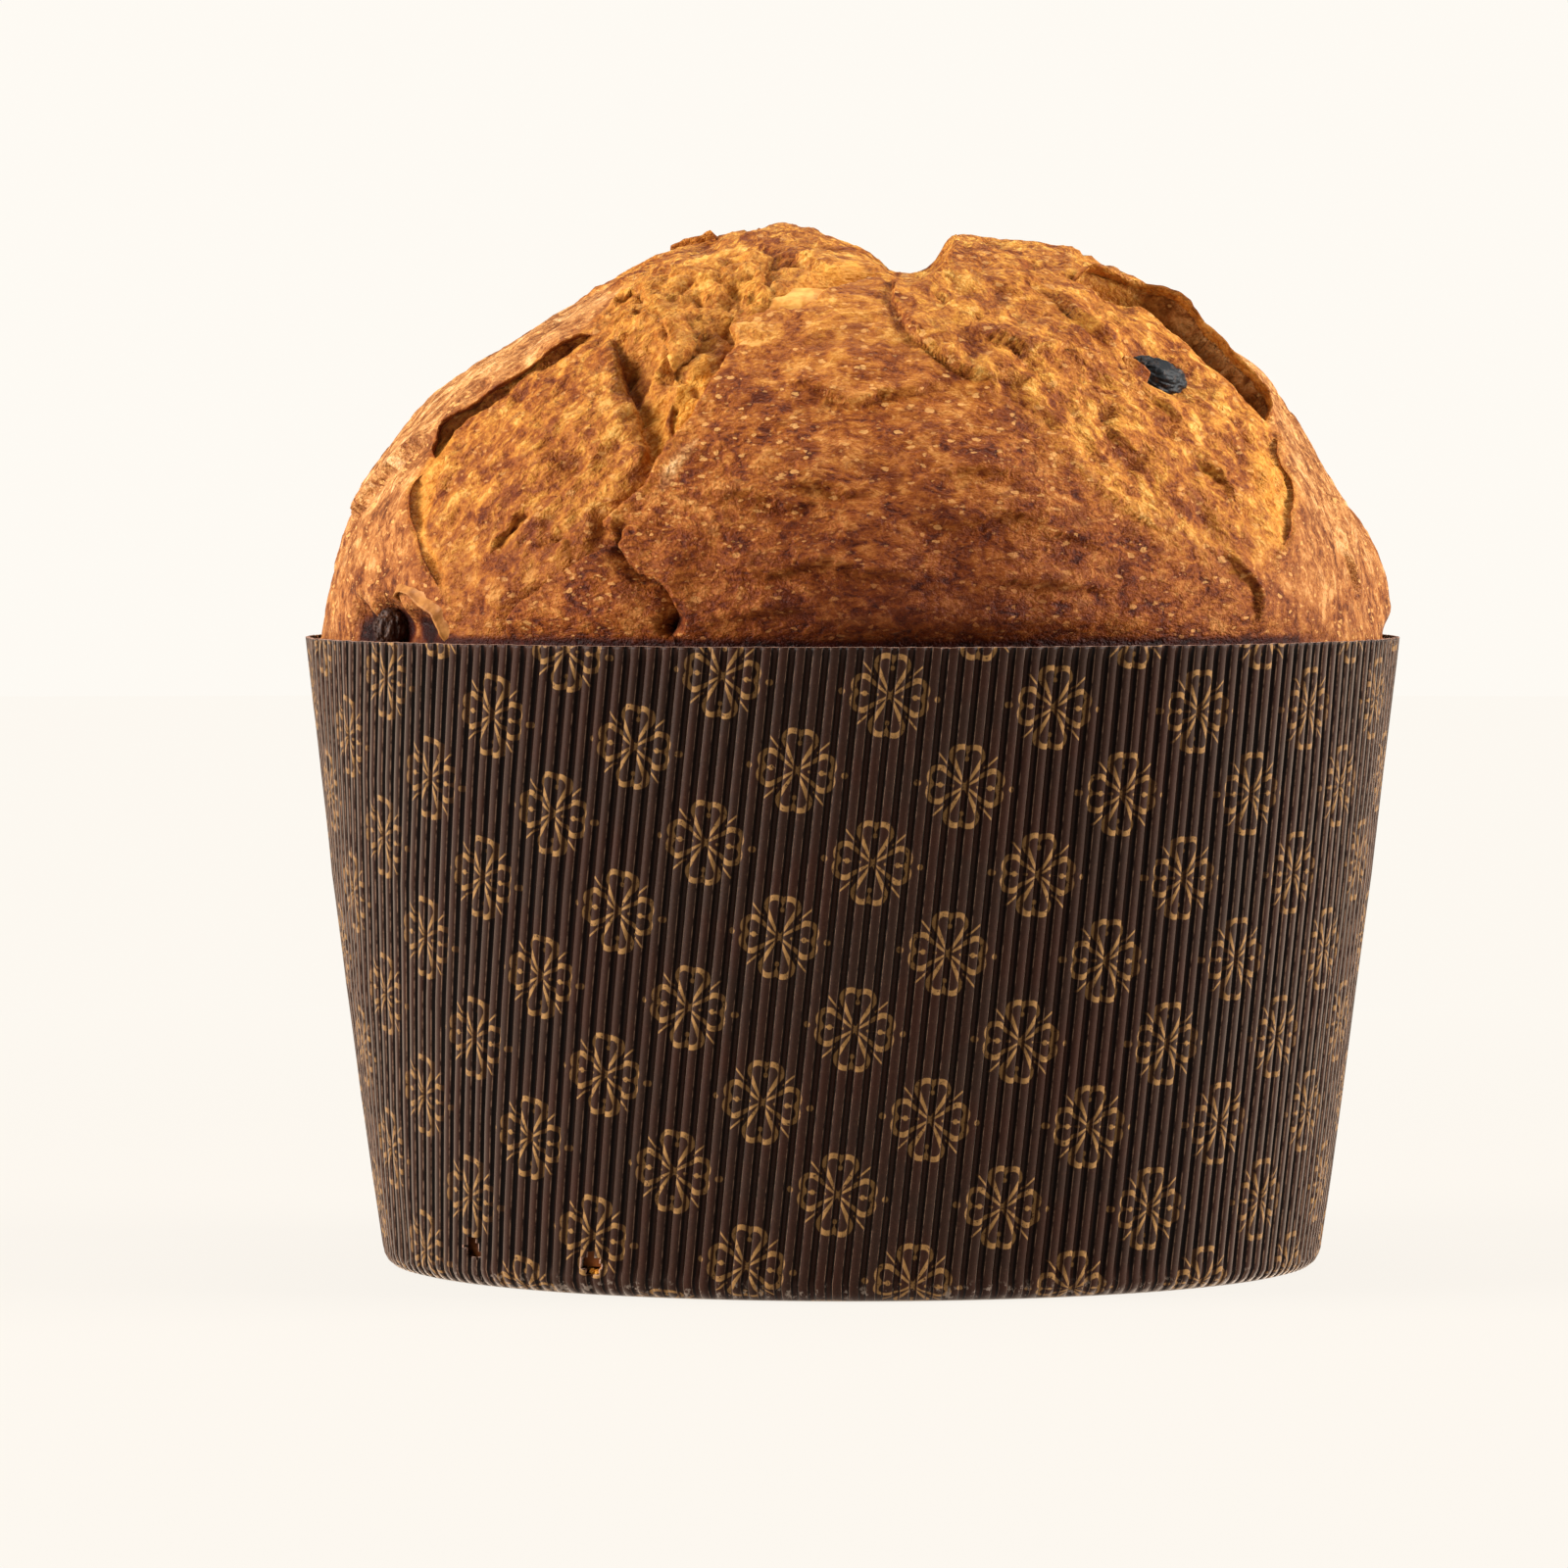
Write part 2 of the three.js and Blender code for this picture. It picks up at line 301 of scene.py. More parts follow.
class Crown:
    """The crown's vertices while it is shaped: where each lies on the plain dome, how far it is
    moved along the normal and across it, and the masks that colour it."""

    def __init__(self, direction):
        """Starts as the plain dome, with the noise that makes routes ragged."""
        self.direction = direction
        self.plain = dome_point(direction)
        self.normal = dome_normal(direction)
        self.azimuth = azimuth_of(direction)
        self.elevation = np.degrees(np.arcsin(np.clip(direction[:, 2], -1.0, 1.0)))
        self.height = np.zeros(len(direction))
        self.slide = np.zeros_like(direction)
        self.masks = {name: np.zeros(len(direction)) for name in MASKS}
        wander = [fractal_noise(self.plain / 5.0, seed, 3, 0.5) for seed in (11, 12, 13)]
        self.ragged = np.stack(wander, axis=-1)

    def near(self, route, reach, ragged=0.0):
        """Vertices within reach of a route: their numbers, distance, side (+1 to the left of travel
        seen from outside), share of the length, and unit direction away from the route."""
        points = self.plain + ragged * self.ragged
        middle = (route.min(0) + route.max(0)) / 2
        radius = np.linalg.norm(route.max(0) - route.min(0)) / 2 + reach
        chosen = np.flatnonzero(np.linalg.norm(points - middle, axis=1) < radius)
        spot, normal = points[chosen], self.normal[chosen]
        best = np.full(len(chosen), np.inf)
        share, side = np.zeros(len(chosen)), np.ones(len(chosen))
        away = np.zeros((len(chosen), 3))
        lengths = np.linalg.norm(np.diff(route, axis=0), axis=1)
        start_share = np.concatenate([[0.0], np.cumsum(lengths)]) / lengths.sum()
        for index, (start, end) in enumerate(zip(route, route[1:])):
            travel = end - start
            along = np.clip((spot - start) @ travel / (travel @ travel), 0.0, 1.0)
            gap = spot - start - along[:, None] * travel
            distance = np.linalg.norm(gap, axis=1)
            closer = distance < best
            best[closer] = distance[closer]
            away[closer] = gap[closer]
            span = start_share[index + 1] - start_share[index]
            share[closer] = start_share[index] + along[closer] * span
            left = np.einsum("ij,ij->i", np.cross(normal, travel), gap)
            side[closer] = np.where(left[closer] >= 0.0, 1.0, -1.0)
        kept = best < reach
        away = away[kept] / np.maximum(best[kept], 1e-6)[:, None]
        return chosen[kept], best[kept], side[kept], share[kept], away

    def inside(self, outline, soft=1.5, ragged=0.0):
        """1 inside a closed outline of (azimuth, elevation) spots, 0 outside, soft at the edge."""
        route = smooth_route(list(outline) + [outline[0]], 6)
        corners = np.asarray(outline, dtype=float)
        centre = corners.mean(0)
        turned = turn_from(centre[0], self.azimuth) + centre[0]
        within = np.zeros(len(turned), dtype=bool)
        for (a0, e0), (a1, e1) in zip(corners, np.roll(corners, -1, axis=0)):
            if e0 == e1:
                continue
            crosses = (e0 > self.elevation) != (e1 > self.elevation)
            meets = a0 + (self.elevation - e0) * (a1 - a0) / (e1 - e0)
            within ^= crosses & (turned < meets)
        mask = within.astype(float)
        number, distance, _, _, _ = self.near(route, 3.0 * soft, ragged)
        signed = np.where(within[number], distance, -distance)
        mask[number] = smooth_step(-soft, soft, signed)
        return mask

    def swell(self, azimuth, elevation, spread, height):
        """A bell curve of the angle from one direction."""
        cosine = self.direction @ direction_at(azimuth, elevation)
        angle = np.degrees(np.arccos(np.clip(cosine, -1.0, 1.0)))
        self.height += height * np.exp(-((angle / spread) ** 2))

    def deepen(self, name, amount, number=slice(None)):
        """Keeps the stronger of a mask and an amount, at some vertices or at all."""
        mask = self.masks[name].copy()
        mask[number] = np.maximum(mask[number], amount)
        self.masks[name] = mask

    def edge(self, spots, raised, lift=2.0, spread=8.0, gap=3.0, width=1.5, overhang=0.8,
             ends=(0.08, 0.08), ragged=0.8, broken=0.0, seed=1, shade=0.9, crumb=0.0):
        """A plate of crust that ends in a lip. On the raised side the surface climbs to lift and
        falls back over spread; on the other it drops by gap and recovers over width; near the
        route both sides slide towards it, so that the lip hangs over the gap."""
        route = smooth_route(spots)
        number, distance, side, share, away = self.near(route, 3.0 * spread, ragged)
        fade = smooth_step(0.0, ends[0], share) * smooth_step(0.0, ends[1], 1.0 - share)
        if broken:
            beat = line_noise(share * broken, seed)
            fade = fade * (0.12 + 0.88 * smooth_step(-0.4, 0.2, beat))
        signed = distance * side * raised
        climb = smooth_step(-0.8, 0.8, signed) * np.exp(-np.maximum(signed, 0.0) / spread)
        drop = smooth_step(0.8, -0.8, signed) * np.exp(-((np.maximum(-signed, 0.0) / width) ** 2))
        self.height[number] += fade * (lift * climb - gap * drop)
        pull = overhang * np.exp(-((distance / 1.5) ** 2)) * fade
        self.slide[number] -= away * pull[:, None]
        # Painted shade in the gap below the lip, as strong as shade says; crumb colours it gold.
        self.deepen("bake_and_shade", shade * fade * drop * min(gap / 2.0, 1.0), number)
        self.deepen("crumb", crumb * fade * drop, number)

    def pit(self, azimuth, elevation, size, depth, mask="bake_and_shade", amount=1.0):
        """A ragged hollow: a flat-bottomed bell of the distance from one spot. The dark mask paints
        shade into it; the crumb mask colours it gold.
        """
        centre = dome_point(direction_at(azimuth, elevation))
        distance = np.linalg.norm(self.plain + self.ragged * 1.6 - centre, axis=1)
        hollow = np.exp(-((distance / size) ** 4))
        self.height -= depth * hollow
        self.deepen(mask, amount * hollow)

    def settle(self, azimuth, elevation, size, level):
        """Brings the surface to one level round a spot, where a fruit sits in it."""
        centre = dome_point(direction_at(azimuth, elevation))
        share = np.exp(-((np.linalg.norm(self.plain - centre, axis=1) / size) ** 4))
        self.height += (level - self.height) * share

    def points(self):
        """The shaped surface, in millimetres."""
        return self.plain + self.normal * self.height[:, None] + self.slide


# Outlines and routes on the crown, as (azimuth, elevation) spots.
FRONT_FLAP = [
    (-18, -4), (-18.3, 6.5), (-21, 9.8), (-24, 13), (-27, 15.5), (-26, 18), (-23, 21.5),
    (-21.6, 26.6), (-19.4, 32), (-18.5, 36), (-17, 42.5), (-18, 47), (-13, 50.5), (-8, 52),
    (-3, 56), (2, 58.5), (7.3, 59.5), (7.8, 55), (8, 49), (10, 44), (13.2, 40), (16, 37.5),
    (18, 34), (21, 30), (25, 26.5), (28, 21.5), (32, 17), (37, 13.5), (44, 9), (50, -4),
]
LEFT_TEAR = [
    (-41, -4), (-38, 3), (-31, 9), (-26, 14), (-27, 16), (-24, 20), (-22, 24), (-20.5, 29),
    (-19.3, 36), (-17, 42.5), (-18, 49), (-28, 56), (-40, 57), (-46, 52), (-48, 45), (-52, 40),
    (-55, 36), (-59.5, 31), (-59, 28), (-58, 25), (-58.5, 22.5), (-57.5, 20), (-56, 17),
    (-54, 14), (-51.5, 11), (-49.5, 8.5), (-47.5, 6), (-46, -4),
]
RIGHT_TEAR = [
    (7.8, 58), (8, 49), (10, 44), (13.2, 40), (16, 37.5), (18, 34), (21, 30), (25, 26.5),
    (28, 21.5), (32, 17), (37, 13.5), (45, 8), (51, 11), (55, 15), (58, 19.5), (60, 23), (60.5, 26),
    (64, 30), (64, 34), (62, 40), (63, 47), (66, 53), (62, 58), (40, 62), (20, 64),
]
TATTERS = [
    (-44, 48), (-38, 44.5), (-33, 42), (-27, 37), (-22.5, 38), (-20, 45), (-15, 51), (-12, 55),
    (-12, 62), (-25, 66), (-40, 66), (-50, 60), (-48, 53),
]
BACK_LEFT_TEAR = [
    (-118, -4), (-108, 6), (-112, 14), (-116, 22), (-118, 30), (-117, 38), (-114, 46), (-110, 54),
    (-135, 62), (-158, 58), (-156, 48), (-155, 40), (-156, 30), (-159, 20), (-163, 10), (-164, -4),
]
BACK_RIGHT_TEAR = [
    (121, -4), (120, 12), (116, 20), (114, 30), (114, 40), (116, 48), (118, 56), (138, 62),
    (160, 54), (156, 46), (153, 38), (152, 28), (154, 18), (158, 9), (159, -4),
]
FLAP_FACE = [
    (-20.4, 43), (-21.4, 39.8), (-22.6, 35.5), (-22.4, 31), (-22.4, 27), (-20.6, 30),
    (-19.4, 34.5), (-19, 39),
]
LEFT_STRIP = [
    (-59.6, 30), (-58.6, 22), (-56, 16.5), (-51.5, 10.5), (-50, 11), (-53, 15.5), (-54.6, 20),
    (-54.8, 25), (-56, 29),
]
RIGHT_STRIP = [
    (60.5, 27), (59.6, 22), (57.5, 19), (55, 15.5), (52.8, 12.5), (51.4, 14), (52.4, 17.5),
    (52, 21.5), (53.5, 25), (57, 27.6),
]
SMOOTH_PATCH = [
    (-21, 20.5), (-21, 23), (-19.4, 26), (-17.8, 27.5), (-18, 25.6), (-19, 23.4), (-20.2, 21),
]
FOOT_LOBE = [(-39, -4), (-38, 3), (-31, 9), (-26, 14.4), (-18.5, 7), (-18.5, -4)]
CREST_CAVE = [(-14, 52), (-8, 53.5), (-3, 57.5), (2, 60), (6, 62), (0, 65), (-10, 61)]
LEFT_LIP = [
    (-41, 48), (-45, 45.5), (-48.5, 42), (-51.5, 39), (-54.5, 36), (-58, 32.8), (-59.5, 30),
    (-58.6, 27), (-58.2, 24.5), (-58.6, 22), (-57.5, 19.5), (-56, 17), (-54, 14), (-51.5, 11),
    (-49.5, 8.5), (-47.5, 6), (-46, 3),
]
RIGHT_LIP = [
    (48, 59.5), (55, 58.5), (61, 56.5), (65.5, 53), (67, 48.5), (66.5, 44), (66, 40), (66, 36),
    (65.5, 33), (64, 30.5),
]
RIGHT_CRACK = [
    (64.5, 30.5), (62, 28), (60, 25.5), (59.8, 22.5), (57.8, 19.2), (56, 16.5), (54, 14),
    (51, 11), (49, 7),
]
FLAP_LEFT_EDGE = [
    (-18, 47), (-17, 42.8), (-18.5, 35.5), (-19.5, 32), (-21.5, 26.6), (-23, 21.7),
    (-25.4, 18.4), (-27.4, 16.2), (-25, 14.6),
]
OVAL_EDGE = [
    (-39, 45.5), (-34.5, 42), (-32, 38.6), (-29, 35), (-27.6, 32.2), (-25.6, 29),
    (-24.6, 26.4), (-24.6, 24),
]
FLAP_TOP_EDGE = [
    (-18.5, 46), (-17, 48.8), (-13, 50.5), (-8, 51.8), (-3, 56), (2, 58.5), (7.3, 59.5),
]
MASS_EDGE = [
    (8, 60), (7.6, 55.5), (7.7, 51), (8.2, 47), (10.3, 43.6), (13.2, 40.6), (15.5, 38.2),
    (21, 37.3), (27, 36.2), (31, 37),
]
MASS_FOOT = [(17, 36.5), (20.5, 31.4), (24, 27.6), (27, 23), (30.6, 19), (35, 15.2), (40, 12)]
FOOT_CREASE = [
    (-25.5, 15.6), (-24, 12), (-22.2, 9.8), (-19.7, 8.5), (-18.2, 5.6), (-18.3, 3), (-18.6, 0.5),
]
FOOT_EDGE = [(-25.5, 14.6), (-29.5, 10.6), (-33.4, 7.6), (-36.4, 5), (-38.3, 2.5), (-38.8, 0)]
PEEL_ARCH = [
    (-57.6, 5.6), (-56.2, 7.0), (-54, 6.9), (-51.4, 5.9), (-49.2, 4.7), (-47.9, 2.6), (-47.7, -1.5),
]
LEFT_FOLD = [(-78, 16.5), (-74, 19.7), (-69.5, 23.8), (-65, 27.4), (-60.5, 29.6)]


def shape_quarters(crown):
    """The four flaps that the baker's cross cut left, and the torn faces between them, as swells
    and hollows: azimuth, elevation, spread in degrees and height."""
    for swell in (
        (2, 22, 22, 1.8), (180, 26, 26, 2.2), (-136, 27, 14, -2.0), (135, 26, 14, -2.0),
        (-42, 30, 13, -0.8), (-40, 28, 8, 1.2), (45, 30, 12, -1.2), (23, 45, 9, 1.6),
        (-90, 24, 12, -1.2), (-90, 52, 18, -3.4), (90, 22, 9, -1.8), (92, 6, 11, 3.6),
        (-92, 8, 8, -1.4), (90, 60, 9, 1.6), (69, 51, 5, 2.2), (82, 56, 6, 2.2),
        (80, 40, 5, 1.8), (-62, 18, 8, 0.8), (-27, 6, 6, 1.2), (0, 8, 14, 1.0),
    ):
        crown.swell(*swell)


def shape_cleft(crown):
    """The crest seen from the front: a low hump, a notch that is steep on its right, a higher
    hump, and plain dome beyond. Its height over the plain dome follows stations across the crown
    and fades towards the front and the back."""
    across, depth, _ = crown.plain.T
    stations, heights = np.transpose([
        (-34, 0), (-26, 0), (-21, 0.5), (-12, 0.5), (-8, -0.4), (-3, -2.6), (1, -4.2), (5, -6.6),
        (8, -9.6), (11, -9.2), (14.5, -7), (16.5, -4.4), (18, -0.8), (24, -0.6), (32, 1),
        (39, 0.8), (43, -1), (47, -1.5),
    ])
    notch_reach = np.exp(-(((depth + 2.0) / 36.0) ** 4))
    hump_reach = np.exp(-((depth / 22.0) ** 2))
    crest = np.interp(across + 0.8 * crown.ragged[:, 0], stations, heights)
    crown.height += crest * np.where(crest < 0, notch_reach, hump_reach)


def shape_front(crown):
    """The smooth front flap, the deep tear on its left, the notch at its foot and its creases."""
    crown.edge(FLAP_LEFT_EDGE, +1, lift=1.8, spread=9.0, gap=2.2, width=2.8, overhang=0.4,
               ends=(0.02, 0.05), ragged=0.7, shade=0.0)
    crown.edge(FLAP_TOP_EDGE, -1, lift=1.5, spread=8.0, gap=3.6, width=5.5, overhang=0.5,
               ends=(0.02, 0.05), ragged=0.6, shade=0.1)
    crown.edge(OVAL_EDGE, -1, lift=1.4, spread=5.0, gap=1.5, width=1.6, overhang=0.6,
               ends=(0.1, 0.1), ragged=1.2, shade=0.3)
    crown.edge([(-22.7, 34.2), (-22.4, 31), (-22.6, 27.8)], -1, lift=0.3, spread=2.5, gap=2.0,
               width=0.8, overhang=0.3, ends=(0.2, 0.2), ragged=0.5, shade=0.8)
    crown.edge(FOOT_CREASE, +1, lift=1.7, spread=5.0, gap=3.4, width=1.9, overhang=0.9,
               ends=(0.05, 0.02), ragged=0.8)
    crown.edge(FOOT_EDGE, +1, lift=2.0, spread=6.0, gap=2.0, width=1.9, overhang=0.6,
               ends=(0.2, 0.02), ragged=0.5, shade=0.8)
    # Hollows: those on the dark mask get painted shade, those on the crumb mask open crumb's gold.
    for azimuth, elevation, size, depth, mask, amount in (
        (-30.2, 40.6, 3.8, 3.0, "bake_and_shade", 0.42), (-28.8, 36.8, 3.2, 2.4, "bake_and_shade", 0.3),
        (-26.2, 33.2, 3.8, 3.8, "crumb", 0.75), (-24.6, 29.6, 3.0, 3.6, "crumb", 0.8),
        (-23.6, 26.8, 1.9, 2.4, "crumb", 0.8), (-25.2, 14.6, 1.5, 3.0, "bake_and_shade", 1.0),
        (-18.7, 3.2, 2.4, 4.0, "bake_and_shade", 1.0),
    ):
        crown.pit(azimuth, elevation, size, depth, mask, amount)
    crown.swell(-24.8, 41.5, 2.6, 1.8)
    crown.swell(-28.4, 45.5, 2.4, 1.6)
    for lift, gap, spots in (
        (1.35, 0.4, [(-9.5, 34.6), (-5.6, 36.1), (-2, 34.4), (1.4, 34.4), (5.4, 35.4),
                     (10.2, 36.4), (14, 38)]),
        (1.2, 0.64, [(-16, 17.6), (-14.2, 18.7), (-11.5, 19.6), (-8.4, 19.2), (-6.4, 18.3),
                     (-2, 18.5)]),
        (0.9, 0.48, [(-8, 22), (-6.5, 20.9), (-3.1, 21.3), (-1, 19.6), (3, 20)]),
        (1.2, 0.4, [(6, 16.5), (11, 15.8), (17, 17), (23, 16.2)]),
        (0.9, 0.4, [(9, 22.5), (15, 23.6), (21, 22.8)]),
        (1.35, 0.48, [(-14, 10.5), (-9, 9.4), (-3, 10.4), (3, 9.2), (8, 10)]),
        (1.2, 0.4, [(12, 7), (19, 8.5), (27, 7.4), (33, 9)]),
        (1.2, 0.64, [(-15, 5), (-11, 4), (-6, 4.8), (-1, 3.6)]),
        (0.9, 0.32, [(18, 13), (24, 14), (30, 12)]),
    ):
        crown.edge(spots, +1, lift=lift, spread=5.0, gap=gap, width=2.2, overhang=0.3,
                   ends=(0.35, 0.35), ragged=1.5, shade=0.45)


def shape_summit(crown):
    """The tattered strands, the flap and the cave round the left hump."""
    for raised, lift, spread, gap, width, overhang, ends, ragged, spots in (
        (-1, 1.6, 4.5, 1.8, 1.5, 0.9, (0.1, 0.1), 1.0,
         [(-31, 53), (-30, 57), (-27, 59.4), (-20, 60.4), (-17, 58), (-16, 55.5)]),
        (+1, 1.4, 3.5, 2.4, 1.3, 0.9, (0.1, 0.1), 1.2,
         [(-42, 63), (-39, 60), (-36, 55.5), (-35, 51), (-36, 48.5)]),
        (+1, 1.6, 3.0, 1.6, 1.4, 0.8, (0.1, 0.1), 1.4,
         [(-30.5, 47.5), (-26.6, 44), (-24.9, 40), (-23.6, 37.6)]),
        (-1, 1.2, 2.8, 1.4, 1.2, 0.7, (0.1, 0.1), 1.4,
         [(-22.5, 47.5), (-22.6, 44), (-23.4, 40), (-24, 37.5)]),
        (+1, 1.4, 3.0, 1.6, 1.2, 0.7, (0.2, 0.1), 1.4,
         [(-47, 52), (-43.5, 55), (-38, 52.5), (-36.5, 49.5)]),
        (-1, 1.3, 3.2, 1.4, 1.2, 0.7, (0.1, 0.2), 1.6,
         [(-41, 47.5), (-36, 48.6), (-31, 47.6), (-28, 44.5)]),
    ):
        crown.edge(spots, raised, lift, spread, gap, width, overhang, ends, ragged)
    crown.edge([(-24, 66), (-17, 66.5), (-10, 64), (-4, 61)], +1, lift=1.2, spread=4.0, gap=1.0,
               width=1.4, overhang=0.5, ends=(0.2, 0.2), ragged=1.2, shade=0.4)
    # Two hollows with painted shade in them.
    crown.pit(-14.5, 63, 3.0, 3.0, amount=0.7)
    crown.pit(-35.5, 50.0, 1.4, 2.4, amount=0.8)


def shape_left(crown):
    """The left flap's lip over the torn face, its folds, and the hollow by the rim."""
    crown.edge(LEFT_LIP[:8], -1, lift=1.5, spread=6.0, gap=4.2, width=1.7, overhang=0.5,
               ends=(0.08, 0.15), ragged=0.5, broken=9.0, seed=5, shade=1.0)
    crown.edge(LEFT_LIP[6:], -1, lift=1.6, spread=5.0, gap=0.8, width=1.8, overhang=0.2,
               ends=(0.1, 0.05), ragged=0.4, broken=8.0, seed=6, shade=0.35, crumb=0.6)
    crown.edge(LEFT_FOLD, +1, lift=2.2, spread=5.0, gap=1.0, width=2.4, overhang=0.4,
               ends=(0.15, 0.25), shade=0.3)
    crown.edge([(-52, 29.5), (-54.5, 26), (-55, 22.5), (-54, 20)], +1, lift=0.9, spread=3.0,
               gap=1.4, width=1.2, overhang=0.5, ends=(0.15, 0.3), ragged=1.0, shade=0.6)
    crown.edge([(-42, 12.6), (-40.4, 15), (-39.2, 17.2), (-37.2, 17.6)], +1, lift=0.9, spread=3.0,
               gap=1.4, width=1.8, overhang=0.4, ends=(0.2, 0.2), ragged=1.0, shade=0.5)
    crown.edge([(-36, 12.5), (-33, 14.2), (-30, 13.6)], -1, lift=0.8, spread=3.0, gap=1.0,
               width=1.4, overhang=0.4, ends=(0.3, 0.3), ragged=1.0, shade=0.4)
    crown.edge([(-66, 1), (-65, 5), (-62, 8), (-58, 9.5)], -1, lift=0.8, spread=3.5, gap=0.6,
               width=1.5, overhang=0.3, ends=(0.2, 0.3), shade=0.2)
    # The hollow by the rim, with painted shade in its three pits.
    crown.pit(-64.8, 1.6, 4.8, 3.6)
    crown.pit(-58.4, 1.8, 5.6, 4.2)
    crown.pit(-52.4, 1.4, 4.8, 3.8)


def shape_right(crown):
    """The right flap's lifted lip and the crack below it, and the folded torn mass."""
    crown.edge(MASS_EDGE, +1, lift=1.6, spread=5.0, gap=1.0, width=1.2, overhang=0.5,
               ends=(0.03, 0.4), ragged=0.9, shade=0.6)
    crown.edge(RIGHT_LIP, +1, lift=3.2, spread=8.0, gap=4.0, width=3.0, overhang=0.6,
               ends=(0.15, 0.15), ragged=0.3, shade=0.3, crumb=0.35)
    crown.edge(RIGHT_CRACK, +1, lift=1.2, spread=5.0, gap=0.7, width=1.1, overhang=0.2,
               ends=(0.05, 0.3), ragged=0.5, shade=0.3)
    for raised, lift, gap, width, spots in (
        (+1, 2.55, 0.24, 2.52, [(17, 45.4), (21, 43.4), (24.7, 41.4), (28.4, 42), (33, 44.5)]),
        (+1, 2.21, 0.22, 2.52, [(36, 57), (37.8, 53.5), (39, 49.6), (41.2, 45.4), (43.7, 43.4)]),
        (-1, 2.21, 0.18, 2.52, [(9, 54.6), (18, 59), (28, 61), (36.7, 58.5), (44, 55.8)]),
        (-1, 2.04, 0.18, 2.34, [(11.6, 49.7), (17.7, 51.5), (23.3, 50), (27, 46.8)]),
        (-1, 1.87, 0.18, 2.34, [(28, 52.5), (31, 49.5), (34, 47.8), (36.5, 44), (38.5, 40)]),
        (-1, 1.36, 0.24, 1.8, [(41.5, 38.4), (44.5, 37.6), (48, 37.2), (54.7, 36.2)]),
        (+1, 1.53, 0.24, 1.8, [(42.2, 36), (42.8, 33.4), (44.7, 31.3)]),
        (-1, 1.7, 0.28, 1.98, [(53.7, 30.8), (53.6, 28.4), (58.2, 27.2)]),
        (+1, 1.36, 0.16, 2.16, [(44.4, 26.5), (46.5, 23), (46.3, 18.4)]),
        (+1, 1.19, 0.12, 2.52, [(31, 32), (33.2, 28.4), (35.4, 25.6)]),
        (+1, 1.53, 0.28, 1.98, [(42.5, 13.4), (45.3, 10.2), (46.8, 7.4), (46.2, 3), (46.2, 0)]),
        (-1, 1.53, 0.1, 2.7, [(72, 22), (75, 18), (78, 12)]),
        (+1, 1.36, 0.1, 2.7, [(68, 14), (71, 9), (70, 4)]),
    ):
        crown.edge(spots, raised, lift=lift, spread=5.0, gap=gap, width=width, overhang=0.3,
                   ends=(0.35, 0.35), ragged=1.6, shade=0.1)
    crown.edge(MASS_FOOT, +1, lift=0.7, spread=4.0, gap=0.0, overhang=0.0, ends=(0.2, 0.3),
               ragged=1.8, shade=0.0)
    # Small hollows with painted shade in them.
    crown.pit(33.5, 33.4, 1.6, 1.2, amount=0.5)
    crown.pit(41.0, 41.0, 1.4, 1.2, amount=0.8)
    crown.pit(55.9, 28.8, 1.5, 2.0, amount=0.9)
    crown.pit(53.9, 19.0, 1.2, 1.2, amount=0.6)


def shape_back(crown):
    """The hidden half, finished with lips, folds and a tear like the front's."""
    for raised, lift, spread, gap, width, overhang, broken, seed, spots in (
        (+1, 1.7, 6.5, 3.4, 1.9, 1.0, 13.0, 8,
         [(-110, 52), (-114, 46), (-117, 38), (-118, 30), (-116, 22), (-112, 14), (-108, 6)]),
        (-1, 1.7, 6.5, 3.0, 2.2, 0.8, 9.0, 4,
         [(-158, 56), (-156, 48), (-155, 40), (-156, 30), (-159, 20), (-163, 10), (-164, 1)]),
        (-1, 2.2, 6.5, 3.6, 2.2, 1.1, 9.0, 9,
         [(118, 56), (116, 48), (114, 40), (114, 30), (116, 20), (120, 12), (121, 4)]),
        (+1, 1.4, 7.0, 2.4, 1.6, 0.8, 11.0, 10,
         [(160, 54), (156, 46), (153, 38), (152, 28), (154, 18), (158, 9), (159, 0)]),
    ):
        crown.edge(spots, raised, lift, spread, gap, width, overhang, broken=broken, seed=seed)
    for raised, spots in (
        (+1, [(-142, 15), (-137, 18), (-131, 16), (-125, 18)]),
        (-1, [(-150, 34), (-143, 36), (-136, 33), (-128, 35)]),
        (+1, [(-146, 48), (-138, 51), (-130, 48), (-122, 50)]),
        (+1, [(124, 24), (131, 21), (138, 24), (146, 22)]),
        (-1, [(122, 38), (130, 41), (138, 38), (146, 42)]),
        (+1, [(128, 52), (136, 55), (146, 52)]),
        (+1, [(168, 16), (176, 13), (184, 15), (192, 11)]),
        (-1, [(166, 32), (174, 34), (183, 31), (190, 34)]),
        (+1, [(170, 46), (180, 48), (189, 45)]),
        (+1, [(-100, 18), (-92, 22), (-84, 19)]),
        (-1, [(84, 30), (92, 34), (101, 31)]),
        (+1, [(96, 12), (103, 15), (110, 11)]),
    ):
        crown.edge(spots, raised, lift=1.1, spread=5.0, gap=0.6, width=2.2, overhang=0.4,
                   ends=(0.3, 0.3), ragged=1.5, shade=0.3)
    crown.pit(-132, 38, 4.5, 5.0, "crumb", 0.8)


